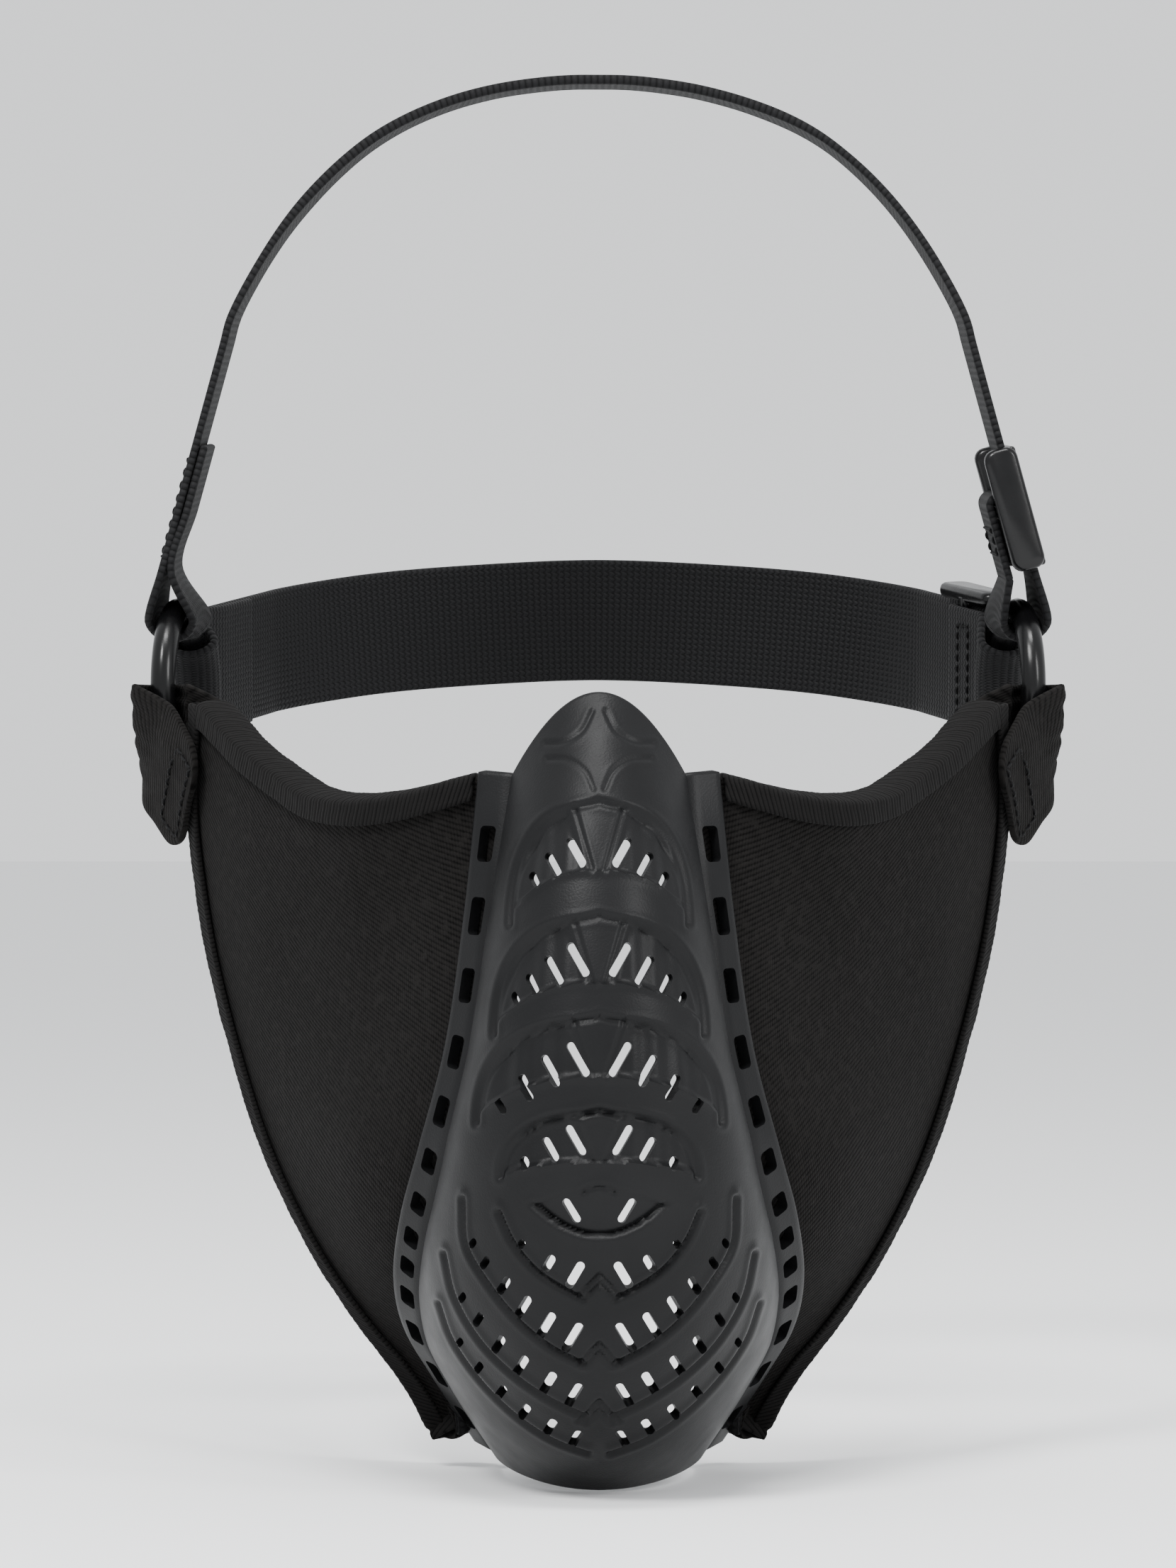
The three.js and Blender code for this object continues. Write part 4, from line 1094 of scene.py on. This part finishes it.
# ---- straps ----
LEVEL = {
    "end_bar": WEBBING / 2 + GAP + BAR_THICKNESS / 2,
    "return_outer": -(WEBBING + GAP),
    "bar": -(WEBBING + GAP + WEBBING / 2 + GAP + BAR_THICKNESS / 2),
    "return_inner": -(2 * WEBBING + 3 * GAP + BAR_THICKNESS),
}
BAR_RELIEF = 0.1  # the end bars are this much thinner than in the CAD model, to clear the webbing
loop_side = RING_SECTION + LOOP_SIDE + WEBBING / 2


class Run:
    """A straight run of strap away from the +X ring."""

    def __init__(self, angle, lean):
        self.start = ring_point(NECK, STRAND_ASIDE, angle)
        flat = np.array([0, math.cos(angle), math.sin(angle)])
        self.forward = np.array([-math.sin(lean), 0, 0]) + flat * math.cos(lean)
        self.widthways = np.array([0, -math.sin(angle), math.cos(angle)])
        self.out = np.cross(self.forward, self.widthways)

    def at(self, distance, sideways=0.0, level=0.0):
        return self.start + self.forward * distance + self.widthways * sideways + self.out * level

    def row(self, distance, level=0.0):
        return [self.at(distance, w * WEBBING_WIDTH / 2, level) for w in ACROSS]


def curved_rows(run, length, points, count):
    """Rows from the straight run's end up to the plane x = 0."""
    joint = run.at(length)
    half = [run.at(length - 8), joint, *np.array(points, float)]
    whole = Spline(half + [mirrored(p) for p in half[:-1]][::-1])
    first = 1 / (2 * (len(half) - 1))
    rows = []
    for s in np.linspace(0, 1, count)[1:]:
        t = lerp(first, 0.5, s)
        forward = unit(whole.at(t + 1e-4)[0] - whole.at(t - 1e-4)[0])
        out = unit(np.cross(forward, run.widthways))
        widthways = np.cross(out, forward)
        rows.append([whole.at(t)[0] + widthways * w * WEBBING_WIDTH / 2 for w in ACROSS])
    return rows


def strap_rows(run, angle, length, points, count):
    loop = loop_rows(angle, LOOP_SPAN, WEBBING, loop_side)
    half = loop[::-1] + [run.row(s * length) for s in np.linspace(0, 1, 11)]
    half += curved_rows(run, length, points, count)
    flipped = [[mirrored(p) for p in row] for row in half[:-1]][::-1]
    tail = [[mirrored(p) for p in run.row(s * SEWN_TAIL, LEVEL["return_outer"])] for s in (0.04, 0.5, 1)]
    return [run.row(-GAP / 2, LEVEL["return_inner"])] + half + flipped + tail


def return_rows(run):
    rise = [run.row(lerp(GAP / 2, SLIDER_MIDDLE, s), LEVEL["return_inner"]) for s in np.linspace(0, 1, 4)]
    radius = (LEVEL["return_outer"] - LEVEL["return_inner"]) / 2
    turn_at = SLIDER_MIDDLE + BAR / 2 - 0.1
    turn = []
    for angle in np.linspace(0, math.pi, 9):
        at, level = turn_at + radius * math.sin(angle), LEVEL["bar"] - radius * math.cos(angle)
        turn.append(run.row(at, level))
    down = [run.row(lerp(turn_at - 2, SLIDER_MIDDLE - RETURN_TAIL, s), LEVEL["return_outer"])
            for s in (0, 0.5, 1)]
    return rise + turn + down


def slider_mesh(name, run):
    """A tri-glide slider: two rails and three bars with rounded edges, in one piece."""
    inside = WEBBING_WIDTH / 2 + SIDE_GAP
    depth = LEVEL["end_bar"] - LEVEL["bar"] + BAR_THICKNESS
    rail_level = (LEVEL["end_bar"] + LEVEL["bar"]) / 2

    def bar(distance, sideways, level, first, second, third, sizes, soft, radius):
        """A rounded block: an outline in two directions, drawn out along the third with soft edges."""
        centre = run.at(SLIDER_MIDDLE + distance, sideways, level)
        along, across, thick = sizes
        sections = []
        for s in np.linspace(-1, 1, 9):
            inset = soft * (1 - math.sqrt(max(0.0, 1 - s * s)))
            outline = rounded_outline(centre + third * s * thick / 2, first, second, along - 2 * inset,
                                      across - 2 * inset, radius - inset * 0.4, 5)
            sections.append(np.array(outline))
        faces = capped_faces(len(sections), len(sections[0]))
        return make_object("bar", np.vstack(sections), faces, PLASTIC_LOOK)

    forward, side_on, out = run.forward, run.widthways, run.out
    rail = (SLIDER_LENGTH, depth, RAIL)
    pieces = [bar(0, side * (inside + RAIL / 2), rail_level, forward, out, side_on, rail, 0.8, 2.2)
              for side in (-1, 1)]
    span = 2 * inside + RAIL
    end_bar, middle_bar = (END_BAR, span, BAR_THICKNESS - BAR_RELIEF), (BAR, span, BAR_THICKNESS)
    pieces += [bar(end * ((SLIDER_LENGTH - END_BAR) / 2 - 0.25), 0, LEVEL["end_bar"], forward, side_on, out,
                   end_bar, 0.5, 0.6) for end in (-1, 1)]
    pieces += [bar(0, 0, LEVEL["bar"], forward, side_on, out, middle_bar, 0.5, 0.6)]
    whole = pieces[0]
    for piece in pieces[1:]:
        boolean(whole, piece, "UNION", 38)
    whole.name = name
    return whole


STRAPS = {
    "top": (math.radians(94), math.radians(15.5), 52.0,
            [[62.6, 9, 109.5], [52.6, 10, 121.3], [41.4, 11, 130], [26.7, 12, 136.3], [10, 12, 139.3],
             [0, 12, 139.7]]),
    "rear": (math.radians(8), math.radians(20), 44.0,
             [[59, 86.5, 30], [45, 94, 32.2], [24, 98.5, 34], [0, 99.5, 35]]),
}


SLIDER_REACH = 118


def clear_of_sliders(lengths):
    """0 near a strap's ends, where a slider runs on it, and 1 along its middle."""
    return smoothstep(SLIDER_REACH, SLIDER_REACH + 22, np.minimum(lengths, lengths[-1] - lengths))


def strap_waver(lengths, across):
    """The slight unevenness of webbing that has been worn."""
    waver = np.array([0.3 * noise.noise(Vector((s / 26, 3.1, 0))) for s in lengths])
    edges = 0.1 * (np.abs(across)[None, :] ** 2) * np.sin(lengths / 13)[:, None]
    return (waver[:, None] + edges) * clear_of_sliders(lengths)[:, None]


def strap_swell(lengths):
    """Webbing is a little thicker away from the rings, where nothing presses it."""
    return 0.2 * clear_of_sliders(lengths)


for name, (angle, lean, length, points) in STRAPS.items():
    run = Run(angle, lean)
    body, slider_body = f"{name}_strap", f"{name}_slider"
    whole = strap_rows(run, angle, length, points, 12)
    strap = band(f"{name}_webbing", whole, WEBBING, STRAP_GRID, WEBBING_LOOK, gather=strap_waver,
                 swollen=strap_swell)
    place(strap, body, "webbing", f"{name}_strap")
    back = band(f"{name}_webbing_return", return_rows(run), WEBBING, RETURN_GRID, WEBBING_LOOK)
    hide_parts(f"{name}_strap_return")
    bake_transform(back)
    place(slider_mesh(f"{name}_slider_moulded", run), slider_body, "plastic", f"{name}_slider")

    def sewn(a, b):
        at = SEWN_TAIL / 2 + a * (SEWN_TAIL / 2 - 3)
        point = run.at(at, b * 0.4 * WEBBING_WIDTH, WEBBING / 2 + 0.16)
        return mirrored(point), mirrored(run.out)

    def bar_tack(a, b):
        at = SLIDER_MIDDLE - RETURN_TAIL / 2 - 1 + a * 2.6
        return run.at(at, b * 0.4 * WEBBING_WIDTH, LEVEL["return_inner"] - WEBBING / 2 - 0.16), -run.out

    seam = make_object(f"{name}_end_thread", *stitches(*seam_path(sewn), pitch=2.6), THREAD_LOOK)
    place(seam, body, "thread", f"{name}_strap_end_stitch")
    tacked = stitches(*seam_path(bar_tack), pitch=2.2, length=1.7)
    tack = make_object(f"{name}_slider_thread", *tacked, THREAD_LOOK)
    place(tack, slider_body, "thread", f"{name}_slider_stitch")

# ---- floor, backdrop and light ----
FLOOR = float(CAD_BOUNDS[0][2]) - 0.0005


def floor():
    """A pale floor under the object, larger than any view of it."""
    half = 9.0
    mesh = bpy.data.meshes.new("studio_floor")
    corners = ((-half, -half), (half, -half), (half, half), (-half, half))
    mesh.from_pydata([(x, y, FLOOR) for x, y in corners], [], [(0, 1, 2, 3)])
    made = bpy.data.materials.new("studio_paper")
    made.use_nodes = True
    shader = made.node_tree.nodes["Principled BSDF"]
    shader.inputs["Base Color"].default_value = (0.88, 0.885, 0.89, 1)
    shader.inputs["Roughness"].default_value = 0.95
    shader.inputs["Specular IOR Level"].default_value = 0.1
    mesh.materials.append(made)
    return add_object("studio_floor", mesh)


floor()

world = bpy.data.worlds.new("studio")
bpy.context.scene.world = world
world.use_nodes = True
world.node_tree.nodes["Background"].inputs["Color"].default_value = (0.97, 0.985, 1, 1)
world.node_tree.nodes["Background"].inputs["Strength"].default_value = 1.25


def area_light(name, location, target, size, power):
    data = bpy.data.lights.new(name, "AREA")
    data.shape = "RECTANGLE"
    data.size, data.size_y = size
    data.energy = power
    obj = add_object(name, data)
    obj.location = location
    obj.rotation_euler = (Vector(target) - Vector(location)).to_track_quat("-Z", "Y").to_euler()


area_light("key", (-0.5, -0.85, 0.95), (0, -0.05, -0.02), (0.32, 0.32), 17)
area_light("fill", (0.8, -0.75, 0.45), (0, -0.05, -0.03), (0.25, 0.5), 7)
area_light("top", (0.0, -0.4, 1.1), (0, -0.05, 0), (0.5, 0.2), 12)
